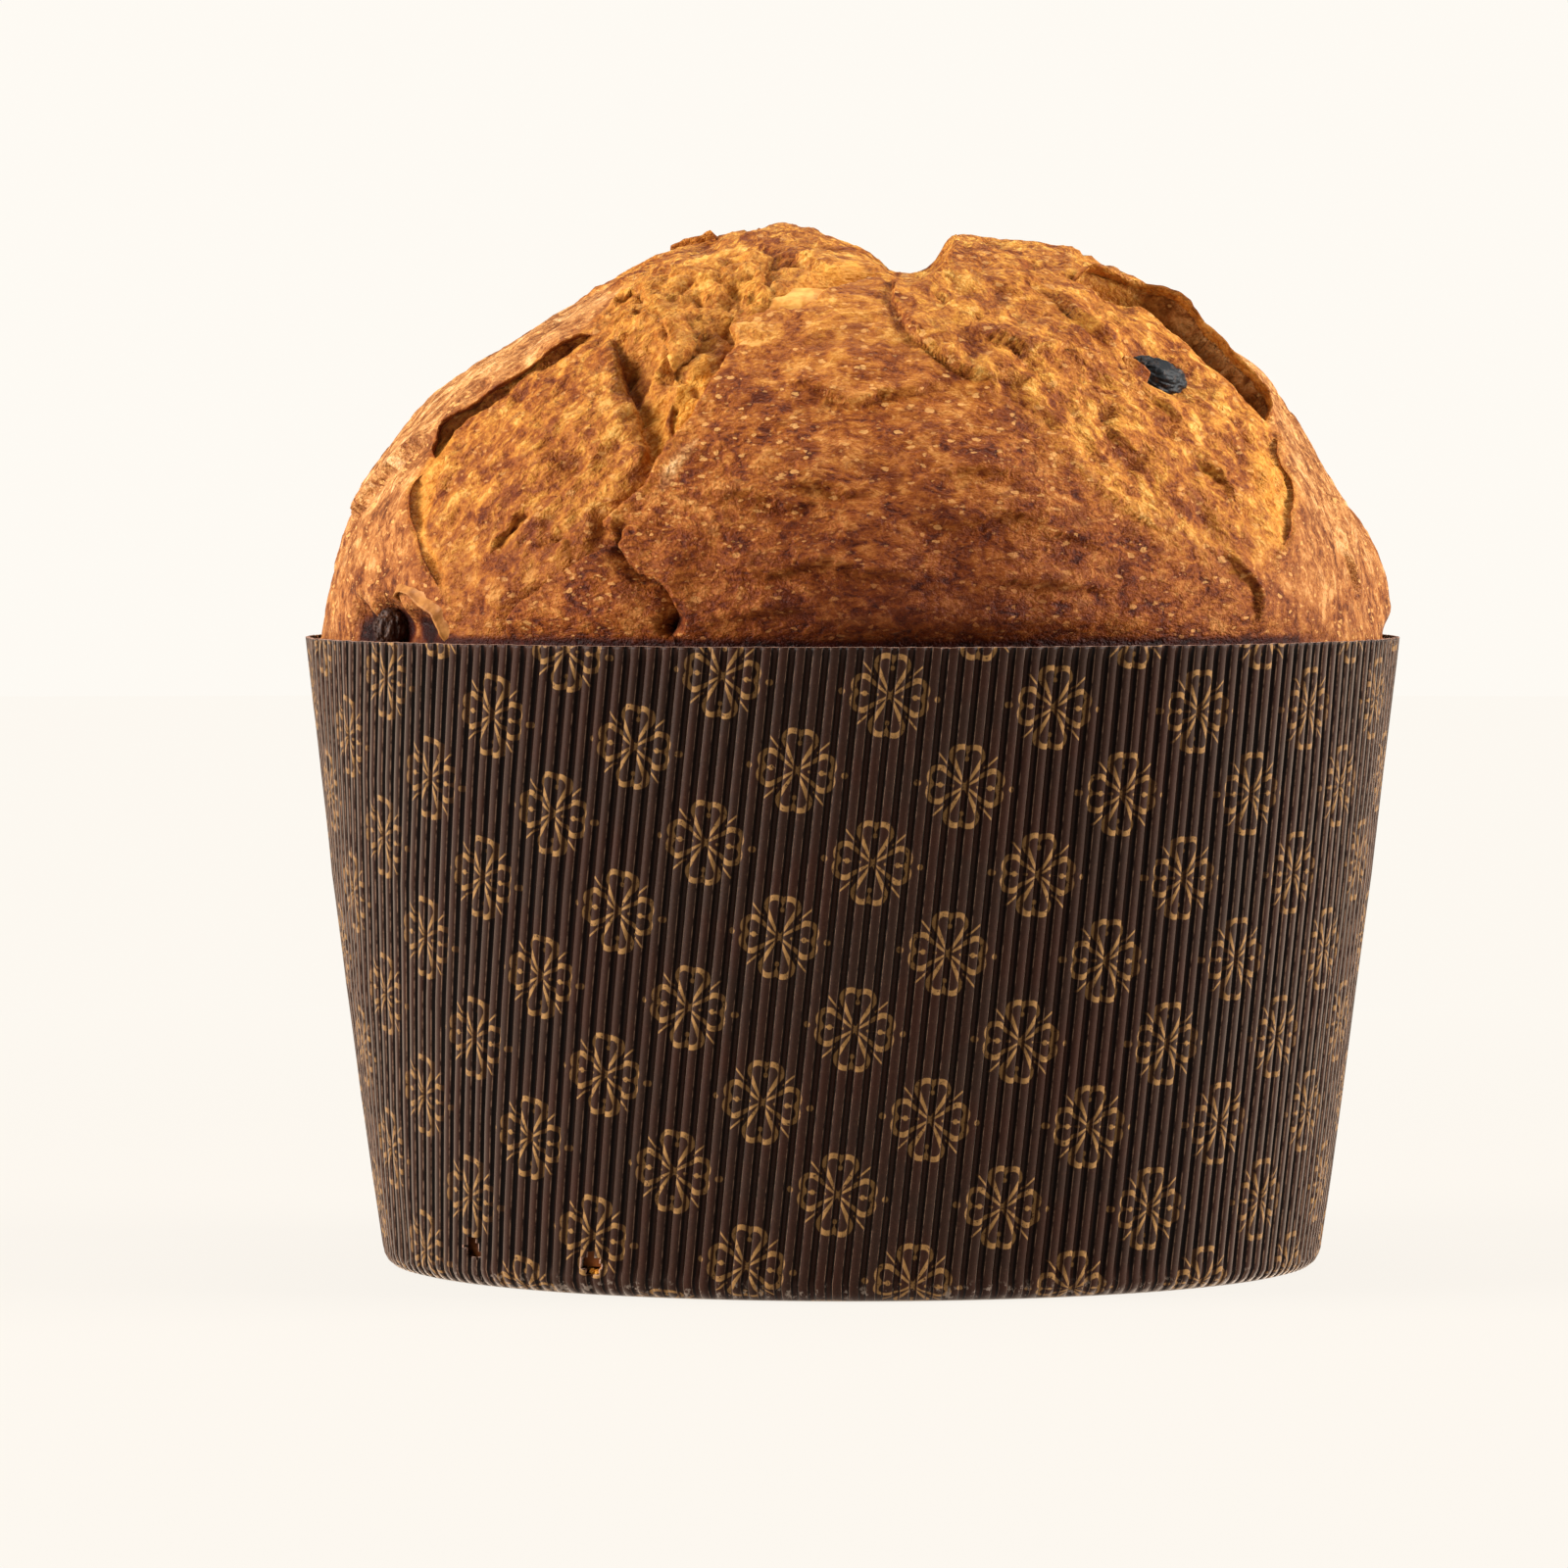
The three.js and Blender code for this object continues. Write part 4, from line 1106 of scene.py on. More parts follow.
class Finish:
    """A node material under construction."""

    def __init__(self, name, roughness):
        """Starts as a plain material of one roughness."""
        self.material = bpy.data.materials.new(name)
        self.material.use_nodes = True
        self.tree = self.material.node_tree
        self.shader = self.tree.nodes["Principled BSDF"]
        self.shader.inputs["Roughness"].default_value = roughness

    def add(self, kind, **settings):
        """A new node with some of its settings changed."""
        node = self.tree.nodes.new(kind)
        for name, value in settings.items():
            setattr(node, name, value)
        return node

    def wire(self, value, socket):
        """Links an output to a socket, or sets the socket to a plain value."""
        if isinstance(value, bpy.types.NodeSocket):
            self.tree.links.new(value, socket)
        else:
            socket.default_value = value

    def math(self, operation, *values, clamp=False):
        """One operation on numbers or outputs."""
        node = self.add("ShaderNodeMath", operation=operation, use_clamp=clamp)
        for value, socket in zip(values, node.inputs):
            self.wire(value, socket)
        return node.outputs[0]

    def times(self, first, second, clamp=False):
        """Their product."""
        return self.math("MULTIPLY", first, second, clamp=clamp)

    def plus(self, first, second):
        """Their sum."""
        return self.math("ADD", first, second)

    def minus(self, first, second):
        """Their difference."""
        return self.math("SUBTRACT", first, second)

    def vector(self, operation, *values):
        """One operation on vectors; a length is a plain number."""
        node = self.add("ShaderNodeVectorMath", operation=operation)
        for value, socket in zip(values, node.inputs):
            self.wire(value, socket)
        return node.outputs["Value" if operation == "LENGTH" else "Vector"]

    def mask(self, name):
        """A number that the mesh keeps for each vertex."""
        return self.add("ShaderNodeAttribute", attribute_name=name).outputs["Fac"]

    def place(self, scale=(1000.0, 1000.0, 1000.0)):
        """Coordinates of the piece in millimetres, stretched by some scales."""
        mapping = self.add("ShaderNodeMapping")
        mapping.inputs["Scale"].default_value = scale
        self.wire(self.add("ShaderNodeTexCoord").outputs["Object"], mapping.inputs["Vector"])
        return mapping.outputs["Vector"]

    def noise(self, place, size, detail=3.0, roughness=0.55, twist=0.0):
        """Noise whose features are about size across, from 0 to 1."""
        node = self.add("ShaderNodeTexNoise")
        node.inputs["Scale"].default_value = 1.0 / size
        node.inputs["Detail"].default_value = detail
        node.inputs["Roughness"].default_value = roughness
        node.inputs["Distortion"].default_value = twist
        self.wire(place, node.inputs["Vector"])
        return node.outputs["Fac"]

    def band(self, value, low, high):
        """0 below low and 1 above high, with an ease between."""
        node = self.add("ShaderNodeMapRange", interpolation_type="SMOOTHSTEP")
        for socket, number in zip(node.inputs, (value, low, high, 0.0, 1.0)):
            self.wire(number, socket)
        return node.outputs[0]

    def ramp(self, value, stops):
        """Colours at places from 0 to 1, blended between."""
        node = self.add("ShaderNodeValToRGB")
        self.wire(value, node.inputs[0])
        elements = node.color_ramp.elements
        while len(elements) < len(stops):
            elements.new(0.5)
        for element, (place, colour) in zip(elements, stops):
            element.position = place
            element.color = colour
        return node.outputs["Color"]

    def flakes(self, place, size, fewness):
        """Scattered ragged flakes: cells of about this size, of which some hold a spot, and each
        spot's own random number sets how large it is."""
        warp = self.add("ShaderNodeTexNoise")
        warp.inputs["Scale"].default_value = 1.6 / size
        self.wire(place, warp.inputs["Vector"])
        shaken = self.vector("MULTIPLY", warp.outputs["Color"], (size * 0.7,) * 3)
        cells = self.add("ShaderNodeTexVoronoi")
        cells.inputs["Scale"].default_value = 1.0 / size
        self.wire(self.vector("ADD", place, shaken), cells.inputs["Vector"])
        chance = self.add("ShaderNodeSeparateXYZ")
        self.wire(cells.outputs["Color"], chance.inputs[0])
        reach = self.times(self.minus(chance.outputs[0], fewness), 0.7)
        inner = self.minus(reach, cells.outputs["Distance"])
        return self.band(inner, -0.02, 0.06)

    def mix(self, share, first, second):
        """A number blended from first to second."""
        node = self.add("ShaderNodeMix")
        for value, socket in zip((share, first, second), (node.inputs[n] for n in (0, 2, 3))):
            self.wire(value, socket)
        return node.outputs[0]

    def blend(self, share, first, second, mode="MIX"):
        """A colour blended from first to second."""
        node = self.add("ShaderNodeMix", data_type="RGBA", blend_type=mode)
        for value, socket in zip((share, first, second), (node.inputs[n] for n in (0, 6, 7))):
            self.wire(value, socket)
        return node.outputs[2]

    def darkened(self, share, colour, shadow):
        """A colour multiplied by a shadow, as far as the share says."""
        return self.blend(share, colour, self.blend(1.0, colour, shadow, "MULTIPLY"))

    def bump(self, height, depth, strength=1.0):
        """Fine relief: height from 0 to 1 stands for depth millimetres."""
        node = self.add("ShaderNodeBump")
        node.inputs["Distance"].default_value = depth * MM
        node.inputs["Strength"].default_value = strength
        self.wire(height, node.inputs["Height"])
        self.wire(node.outputs["Normal"], self.shader.inputs["Normal"])

    def colour(self, value):
        """Gives the surface its colour."""
        self.wire(value, self.shader.inputs["Base Color"])

    def surface(self, **values):
        """Sets the shader's plain inputs; an underscore in a name stands for a space."""
        for name, value in values.items():
            self.shader.inputs[name.replace("_", " ")].default_value = value


def tint(red, green, blue):
    """A screen colour from 0 to 255 as the linear colour that shaders use."""
    return tuple((channel / 255.0) ** 2.2 for channel in (red, green, blue)) + (1.0,)


def crust_finish(colours):
    """Baked crust and torn dough. A tone from 0 to 1 sums mottle, strands and grain; one ramp turns
    it into crust, one into tan crust and one into torn dough. The tan ramp serves a real tan patch
    and painted sheen on the flanks. Small pale flakes lie on top, open crumb is gold, and the dark
    mask multiplies everything: a darker bake, and painted shade in gaps, pits, creases and under
    lips."""
    finish = Finish("baked_crust", 0.5)
    finish.surface(Specular_IOR_Level=0.1, Sheen_Weight=0.04, Sheen_Roughness=0.4,
                   Sheen_Tint=(1.0, 0.85, 0.66, 1.0))
    torn, bake_and_shade, crumb, upright, tan = (finish.mask(name) for name in MASKS)
    even = finish.place()
    level = finish.place((1000.0, 1000.0, 1800.0))
    tall = finish.place((1000.0, 1500.0, 1000.0))
    slant = finish.add("ShaderNodeAttribute", attribute_name="slant").outputs["Vector"]

    def drawn(*kind):
        """Noise in strands that run level, upright or slanting, as the masks say."""
        baked = finish.mix(upright, finish.noise(level, *kind), finish.noise(tall, *kind))
        return finish.mix(torn, baked, finish.noise(slant, *kind))

    mottle = finish.noise(even, 7.0, 4.0, 0.6, 0.8)
    strands = drawn(3.2, 4.0, 0.6, 1.2)
    streaks = drawn(1.5, 3.0, 0.6, 0.8)
    grain = finish.noise(even, 0.6, 2.0, 0.6)
    tone = 0.5
    for noise, strength in ((mottle, 2.2), (strands, 1.9), (streaks, 0.9), (grain, 0.5)):
        tone = finish.plus(tone, finish.times(finish.minus(noise, 0.5), strength))
    crust = finish.ramp(tone, (
        (0.0, tint(78, 32, 6)), (0.25, tuple(colours.crust_shadow)), (0.5, tuple(colours.crust)),
        (0.75, tint(176, 106, 44)), (1.0, tint(204, 138, 70)),
    ))
    dough = finish.ramp(tone, (
        (0.0, tint(104, 48, 16)), (0.25, tint(142, 78, 28)), (0.5, tuple(colours.tear)),
        (0.75, tint(206, 142, 58)), (1.0, tint(232, 178, 94)),
    ))
    # Paler crust, for a real tan patch and for painted sheen on the flanks that face the side
    # lamps.
    pale = finish.ramp(tone, (
        (0.0, tint(112, 66, 34)), (0.3, tint(156, 100, 54)), (0.55, tint(190, 134, 80)),
        (0.8, tint(214, 160, 102)), (1.0, tint(236, 192, 138)),
    ))
    crust = finish.blend(tan, crust, pale)
    dusk = finish.band(drawn(4.5, 4.0, 0.65, 0.6), 0.5, 0.64)
    crust = finish.blend(finish.times(dusk, 0.5), crust, tint(100, 44, 12))
    dough = finish.blend(finish.times(dusk, 0.6), dough, tint(122, 62, 32))
    colour = finish.blend(torn, crust, dough)
    for size, fewness, strength in ((3.6, 0.6, 0.75), (2.2, 0.46, 0.75), (1.3, 0.45, 0.4)):
        flakes = finish.flakes(level, size, fewness)
        share = finish.times(flakes, finish.minus(strength, finish.times(torn, 0.3)))
        colour = finish.blend(share, colour, tuple(colours.fleck))
    gold = finish.band(streaks, 0.35, 0.65)
    gold = finish.blend(gold, tint(190, 112, 22), tuple(colours.crumb))
    colour = finish.blend(crumb, colour, gold)
    # The dark mask multiplies the colour: a darker bake, and painted shade in gaps, pits, creases
    # and under lips.
    depth = finish.times(bake_and_shade, finish.plus(0.7, finish.times(mottle, 0.6)), clamp=True)
    colour = finish.darkened(depth, colour, tint(136, 68, 20))
    colour = finish.darkened(finish.band(bake_and_shade, 0.55, 1.0), colour, tint(108, 58, 27))
    finish.colour(colour)
    relief = finish.plus(finish.times(streaks, 0.9), finish.times(grain, 0.45))
    finish.bump(finish.plus(relief, finish.times(strands, 0.8)), 0.7)
    return finish.material


# The print: the lattice's spacing in millimetres and its shift in spacings, and the dots in a
# quarter of the motif, by millimetres across and along and radius.
PRINT_SPACING = 28.8
PRINT_SHIFT = (0.502, 0.403)
PRINT_DOTS = ((0, 4.7, 0.42), (4.3, 0, 0.45), (8.2, 0, 0.55), (0, 0, 0.35), (2.2, 0, 0.25))


def petal_distance(finish, across, along, lobe_across, lobe_along, lobe_radius):
    """Distance from half a heart-shaped petal, and how far out along it: a drop that widens from
    near the motif's middle to the middle of a lobe. Across and along are already folded, so that
    one drop draws the whole petal."""
    root_along, root_radius = 0.9, 0.3
    lobe_along -= root_along
    along = finish.minus(along, root_along)
    length = math.hypot(lobe_across, lobe_along)
    dot = finish.plus(finish.times(across, lobe_across / length**2),
                      finish.times(along, lobe_along / length**2))
    share = finish.math("MINIMUM", finish.math("MAXIMUM", dot, 0.0), 1.0)
    off_across = finish.minus(across, finish.times(share, lobe_across))
    off_along = finish.minus(along, finish.times(share, lobe_along))
    squares = finish.plus(finish.times(off_across, off_across),
                          finish.times(off_along, off_along))
    radius = finish.math("MULTIPLY_ADD", share, lobe_radius - root_radius, root_radius)
    return finish.minus(finish.math("SQRT", squares), radius), share


def petal_print(finish, sheet):
    """Share of gold ink: a four-petal flower at each corner and each middle of a square lattice."""
    cell = finish.add("ShaderNodeMapping")
    cell.inputs["Scale"].default_value = (1 / PRINT_SPACING, 1 / PRINT_SPACING, 1.0)
    cell.inputs["Location"].default_value = (*PRINT_SHIFT, 0.0)
    finish.wire(sheet, cell.inputs["Vector"])

    def from_nearest(shift):
        """The way from the nearest lattice corner, in millimetres."""
        moved = finish.vector("ADD", cell.outputs[0], (shift, shift, 0.0))
        nearest = finish.vector("FLOOR", finish.vector("ADD", moved, (0.5, 0.5, 0.0)))
        away = finish.vector("SUBTRACT", moved, nearest)
        return finish.vector("MULTIPLY", away, (PRINT_SPACING, PRINT_SPACING, 0.0))

    corner, centre = from_nearest(0.0), from_nearest(0.5)
    lengths = [finish.vector("LENGTH", way) for way in (centre, corner)]
    closer = finish.math("LESS_THAN", *lengths)
    pick = finish.add("ShaderNodeMix", data_type="VECTOR")
    for value, socket in zip((closer, corner, centre), (pick.inputs[n] for n in (0, 4, 5))):
        finish.wire(value, socket)
    parts = finish.add("ShaderNodeSeparateXYZ")
    finish.wire(finish.vector("ABSOLUTE", pick.outputs[1]), parts.inputs[0])
    across, along = parts.outputs[0], parts.outputs[1]

    def rim(distance, share):
        """Ink in a band outside a drop, thinner towards the motif's middle."""
        half = finish.math("MULTIPLY_ADD", share, 0.3, 0.17)
        away = finish.math("ABSOLUTE", finish.minus(distance, half))
        return finish.band(finish.minus(away, half), 0.1, -0.1)

    def dot(spot_across, spot_along, radius):
        """Ink inside a circle."""
        squares = finish.plus(finish.math("POWER", finish.minus(across, spot_across), 2.0),
                              finish.math("POWER", finish.minus(along, spot_along), 2.0))
        return finish.band(finish.math("SQRT", squares), radius + 0.12, radius - 0.12)

    tall, tall_share = petal_distance(finish, across, along, 1.15, 5.2, 1.1)
    wide, wide_share = petal_distance(finish, along, across, 1.3, 4.65, 1.15)
    clear_of_wide = finish.band(wide, -0.1, 0.1)
    clear_of_tall = finish.band(tall, -0.1, 0.1)
    ink = finish.math("MAXIMUM", finish.times(rim(tall, tall_share), clear_of_wide),
                      finish.times(rim(wide, wide_share), clear_of_tall))
    for spot in PRINT_DOTS:
        ink = finish.math("MAXIMUM", ink, dot(*spot))
    diagonal = finish.minus(across, finish.times(along, 0.95))
    out = finish.plus(across, along)
    stretch = finish.times(finish.band(out, 6.2, 6.6), finish.band(out, 11.0, 10.2))
    ray = finish.band(finish.math("ABSOLUTE", diagonal), 0.3, 0.12)
    return finish.math("MAXIMUM", ink, finish.times(ray, stretch))


def paper_finish(colours):
    """Dark brown mould paper: fine fibre, painted shade on the valley walls, a painted highlight
    along the ridge edges, whitish wear at the fold, and gold petals printed on the flat sheet."""
    finish = Finish("printed_mould_paper", 0.5)
    finish.surface(Specular_IOR_Level=0.12, Sheen_Weight=0.62, Sheen_Roughness=0.35,
                   Sheen_Tint=(1.0, 0.8, 0.64, 1.0))
    sheet = finish.add("ShaderNodeTexCoord").outputs["UV"]
    sink = finish.mask("sink")
    even = finish.place()
    fibre = finish.noise(even, 0.5, 4.0, 0.6)
    cloud = finish.band(finish.noise(even, 12.0, 3.0), 0.3, 0.7)
    paper = finish.blend(cloud, tint(42, 24, 14), tuple(colours.paper))
    light = finish.times(finish.band(fibre, 0.5, 0.8), 0.3)
    paper = finish.blend(light, paper, tint(84, 56, 38))
    worn = finish.band(finish.noise(even, 0.6, 4.0, 0.7), 0.30, 0.46)
    ink = finish.times(petal_print(finish, sheet), worn)
    gold = finish.blend(finish.noise(even, 1.2, 3.0), tint(110, 78, 44), tuple(colours.gold))
    colour = finish.blend(ink, paper, gold)
    # Painted highlight along both edges of each ridge, broken up by noise.
    edge = finish.times(finish.band(sink, 0.02, 0.12), finish.band(sink, 0.32, 0.16))
    painted_ridge_highlight = finish.times(edge, finish.band(finish.noise(even, 2.0, 3.0, 0.6), 0.35, 0.65))
    colour = finish.blend(finish.times(painted_ridge_highlight, 0.8), colour, tint(150, 116, 94))
    # Painted shade on the valley walls.
    painted_valley_shade = finish.times(finish.band(sink, 0.05, 0.4), finish.band(sink, 1.0, 0.9))
    colour = finish.darkened(finish.times(painted_valley_shade, 0.9), colour, tint(90, 60, 44))
    parts = finish.add("ShaderNodeSeparateXYZ")
    finish.wire(even, parts.inputs[0])
    height = parts.outputs[2]
    fold = finish.times(finish.band(height, 4.0, 1.4), finish.band(height, 0.2, 0.9))
    frayed = finish.times(fold, finish.band(finish.noise(even, 1.6, 3.0, 0.7), 0.56, 0.66))
    colour = finish.blend(finish.times(frayed, 0.65), colour, tint(150, 132, 118))
    finish.colour(colour)
    finish.bump(fibre, 0.08, 0.5)
    return finish.material


def edge_finish():
    """The pale cut edge of the paper."""
    finish = Finish("cut_paper_edge", 0.8)
    grain = finish.noise(finish.place(), 0.8, 3.0)
    finish.colour(finish.blend(grain, tint(110, 76, 60), tint(176, 138, 118)))
    finish.bump(grain, 0.05)
    return finish.material


def liner_finish(colours):
    """Greaseproof paper, stained by the dough."""
    finish = Finish("greased_liner_paper", 0.45)
    stain = finish.noise(finish.place(), 5.0, 4.0, 0.6)
    stained = finish.band(stain, 0.35, 0.7)
    finish.colour(finish.blend(stained, tint(92, 50, 28), tint(150, 88, 46)))
    finish.bump(finish.noise(finish.place(), 0.6), 0.06)
    return finish.material


def raisin_finish(name, skin, bloom_colour):
    """Wrinkled raisin skin: dark, with a brown bloom on the folds."""
    finish = Finish(name, 0.5)
    finish.surface(Specular_IOR_Level=0.2)
    bloom = finish.noise(finish.place(), 1.4, 4.0, 0.65, 0.5)
    finish.colour(finish.blend(finish.band(bloom, 0.5, 0.75), skin, bloom_colour))
    finish.bump(finish.noise(finish.place(), 0.5, 3.0), 0.15)
    return finish.material


def peel_finish(name, deep, pale):
    """Candied peel: amber, cloudy and sticky."""
    finish = Finish(name, 0.55)
    finish.surface(Specular_IOR_Level=0.15, Coat_Weight=0.06, Coat_Roughness=0.3)
    cloud = finish.noise(finish.place(), 2.5, 3.0)
    finish.colour(finish.blend(finish.band(cloud, 0.3, 0.7), deep, pale))
    finish.bump(finish.noise(finish.place(), 0.9, 3.0), 0.12)
    return finish.material


# ---------------------------------------------------------------- settings


def colour_property(name, description, red, green, blue):
    """A colour that a user can change, given in screen values."""
    return bpy.props.FloatVectorProperty(
        name=name, description=description, subtype="COLOR", size=4, min=0.0, max=1.0,
        default=tint(red, green, blue),
    )


class PanettoneSizes(bpy.types.PropertyGroup):
    crown_cells: bpy.props.IntProperty(
        name="Crown cells", description="Grid cells across the crown's surface",
        default=280, min=60, max=280)
    flute_pitch: bpy.props.FloatProperty(
        name="Flute pitch", description="Distance between two flutes of the mould paper",
        default=2.88 * MM, unit="LENGTH", precision=5)
    flute_depth: bpy.props.FloatProperty(
        name="Flute depth", description="Depth of a flute, from ridge to valley",
        default=1.0 * MM, unit="LENGTH", precision=5)
    paper_thickness: bpy.props.FloatProperty(
        name="Paper thickness", description="Thickness of the corrugated sheet",
        default=0.38 * MM, unit="LENGTH", precision=5)


class PanettoneColours(bpy.types.PropertyGroup):
    crust: colour_property("Crust", "Smooth baked crust", 150, 82, 30)
    crust_shadow: colour_property("Crust patches", "Darker patches in the crust", 120, 58, 20)
    fleck: colour_property("Flecks", "Pale flecks drawn along the crust", 226, 168, 98)
    tear: colour_property("Torn dough", "Golden dough where the crust tore", 178, 111, 46)
    crumb: colour_property("Crumb", "Open yellow crumb deep in a tear", 240, 172, 78)
    paper: colour_property("Mould paper", "Corrugated paper", 47, 22, 8)
    gold: colour_property("Print", "Gold ink of the petals", 156, 116, 70)
    raisin: colour_property("Raisin", "Raisin skin", 30, 34, 38)
    peel: colour_property("Candied peel", "Amber candied peel", 236, 176, 92)


def settings():
    """The sizes and colours that the panel shows."""
    scene = bpy.context.scene
    return scene.panettone_sizes, scene.panettone_colours


# ---------------------------------------------------------------- operators


# Lips, shreds and a flake of torn crust: name, route, raised side, millimetres from the route back
# to the root and forward to the edge, rise, thickness, seed, and how torn it is, how much painted
# shade lies on its underside, and how golden its underside is.
LIPS = (
    ("left_lip_crust", LEFT_LIP[:9], -1, 4.5, 0.7, 1.6, 1.0, 81, 0.5, 0.45, 0.0),
    ("left_edge_crust", LEFT_LIP[7:-1], -1, 3.5, 0.1, 0.2, 0.5, 82, 0.5, 0.1, 0.0),
    ("right_lip_crust", RIGHT_LIP, +1, 6.0, 1.3, 2.8, 1.7, 83, 0.9, 0.12, 0.5),
    ("right_crack_crust", RIGHT_CRACK[:-1], +1, 3.0, 0.1, 0.2, 0.5, 85, 0.5, 0.1, 0.0),
    ("crest_flake", [(-100, 69.5), (-92, 72), (-84, 74), (-75, 75.5)],
     +1, 2.0, 0.8, 1.5, 0.4, 89, 1.0, 0.0, 0.3),
    ("raisin_shard", [(41.2, 42.4), (43.2, 41), (45.6, 39.2)],
     -1, 1.8, 0.9, 1.4, 0.7, 90, 0.7, 0.5, 0.0),
    ("back_lip_crust", [(118, 55), (116, 48), (114, 40), (114, 30), (116, 20), (120, 12)],
     -1, 5.0, 1.8, 1.6, 1.1, 87, 0.4, 0.6, 0.0),
)


class PANETTONE_OT_loaf(bpy.types.Operator):
    """Bakes the loaf: one closed surface with a torn crown"""

    bl_idname = "panettone.loaf"
    bl_label = "Loaf"

    def execute(self, context):
        """Makes the crust, its lips, the strip of peel on it and the crumbs."""
        sizes, colours = settings()
        crown = shaped_crown(sizes.crown_cells)
        crust = crust_finish(colours)
        place(build_loaf(crown, sizes.crown_cells), "loaf", "crust", crust)
        for name, *shape in LIPS:
            place(build_lip(name, crown, *shape), None, "crust", crust)
        arch = build_lip("candied_peel_rim_flesh", crown, PEEL_ARCH, +1, 2.4, 0.8, 0.9, 1.0, 93)
        glazed = peel_finish("glazed_peel", tint(126, 76, 34), tint(176, 118, 62))
        place(arch, "candied_peel_rim", "candied_peel", glazed)
        place(build_crumbs(), None, "crust", crust)
        return {"FINISHED"}


class PANETTONE_OT_mould(bpy.types.Operator):
    """Rolls the corrugated wall and its liner, and papers the base disc"""

    bl_idname = "panettone.mould"
    bl_label = "Paper mould"

    def execute(self, context):
        """Makes both sheets and gives the disc its paper."""
        sizes, colours = settings()
        paper = paper_finish(colours)
        fluting = build_fluting(sizes)
        thicken(fluting, sizes.paper_thickness / MM, rim_slot=1)
        place(fluting, "wall_fluting", "mould_paper", paper, edge_finish())
        liner = build_liner()
        thicken(liner, LINER_THICKNESS)
        greased = liner_finish(colours)
        place(liner, "wall_liner", "liner_paper", greased)
        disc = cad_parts["base_disc"]
        disc.data.materials.clear()
        disc.data.materials.append(greased)
        return {"FINISHED"}


class PANETTONE_OT_fruit(bpy.types.Operator):
    """Sets the raisins and the candied peel in the crust"""

    bl_idname = "panettone.fruit"
    bl_label = "Fruit"

    def execute(self, context):
        """Makes a fruit in the place of each of the CAD's."""
        _, colours = settings()
        raisin = raisin_finish("raisin_skin", tuple(colours.raisin), tint(84, 62, 48))
        soaked = raisin_finish("soaked_raisin_skin", tint(50, 28, 18), tint(92, 58, 36))
        peel = peel_finish("candied_peel", tint(196, 130, 56), tuple(colours.peel))
        for seed, node in enumerate(sorted(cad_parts)):
            if node == "raisin_rim":
                place(build_raisin(node, seed, 2.4), node, "raisin_skin", soaked)
            elif node.startswith("raisin"):
                place(build_raisin(node, seed, 0.0), node, "raisin_skin", raisin)
            elif node in ("candied_peel_crown", "candied_peel_back"):
                place(build_peel(node, seed), node, "candied_peel", peel)
        return {"FINISHED"}


# The studio: radii of floor and backdrop in millimetres, and the floor's sides. In metres: what the
# lights face, and each softbox's name, place, width and watts.
FLOOR_RADIUS = 4000.0
BACKDROP_RADIUS = 4500.0
FLOOR_SIDES = 96
LIGHT_AIM = (0.0, 0.0, 0.11)
LIGHT_TONE = (1.0, 0.97, 0.93)
SOFTBOXES = (
    ("left_softbox", (-1.4, -0.3, 0.6), 0.9, 50.0),
    ("right_softbox", (1.4, -0.1, 0.65), 0.9, 46.0),
    ("top_softbox", (0.0, 0.3, 1.5), 1.2, 12.0),
)
# The camera's place in metres, focal length, and how many degrees it looks down and is turned.
CAMERA_SPOT = (0.0, -1.732, 0.1455)
CAMERA_LENS = 222.6
CAMERA_DOWN = 1.98
CAMERA_TURN = 0.4


def area_light(name, spot, size, watts):
    """A soft square light at a spot, facing the middle of the loaf."""
    lamp = bpy.data.lights.new(name, "AREA")
    lamp.size = size
    lamp.energy = watts
    lamp.color = LIGHT_TONE
    holder = bpy.data.objects.new(name, lamp)
    holder.location = spot
    holder.rotation_euler = (Vector(LIGHT_AIM) - Vector(spot)).to_track_quat("-Z", "Y").to_euler()
    bpy.context.scene.collection.objects.link(holder)


def flat_shader(name, colour, strength):
    """A plain glow for the far backdrop."""
    material = bpy.data.materials.new(name)
    material.use_nodes = True
    tree = material.node_tree
    tree.nodes.clear()
    glow = tree.nodes.new("ShaderNodeEmission")
    glow.inputs["Color"].default_value = colour
    glow.inputs["Strength"].default_value = strength
    out = tree.nodes.new("ShaderNodeOutputMaterial")
    tree.links.new(glow.outputs[0], out.inputs["Surface"])
    return material


def floor_finish():
    """Pale studio floor that turns into the backdrop's glow with distance."""
    material = bpy.data.materials.new("studio_floor")
    material.use_nodes = True
    tree = material.node_tree
    shader = tree.nodes["Principled BSDF"]
    shader.inputs["Base Color"].default_value = (0.5, 0.46, 0.42, 1.0)
    shader.inputs["Roughness"].default_value = 0.9
    shader.inputs["Specular IOR Level"].default_value = 0.1
    glow = tree.nodes.new("ShaderNodeEmission")
    glow.inputs["Color"].default_value = tint(253, 248, 240)
    coordinates = tree.nodes.new("ShaderNodeTexCoord")
    length = tree.nodes.new("ShaderNodeVectorMath")
    length.operation = "LENGTH"
    tree.links.new(coordinates.outputs["Object"], length.inputs[0])
    share = tree.nodes.new("ShaderNodeMapRange")
    share.interpolation_type = "SMOOTHSTEP"
    share.inputs["From Min"].default_value = 0.05
    share.inputs["From Max"].default_value = 0.8
    share.inputs["To Min"].default_value = 0.9
    tree.links.new(length.outputs["Value"], share.inputs["Value"])
    mix = tree.nodes.new("ShaderNodeMixShader")
    tree.links.new(share.outputs[0], mix.inputs[0])
    tree.links.new(shader.outputs[0], mix.inputs[1])
    tree.links.new(glow.outputs[0], mix.inputs[2])
    tree.links.new(mix.outputs[0], tree.nodes["Material Output"].inputs["Surface"])
    return material


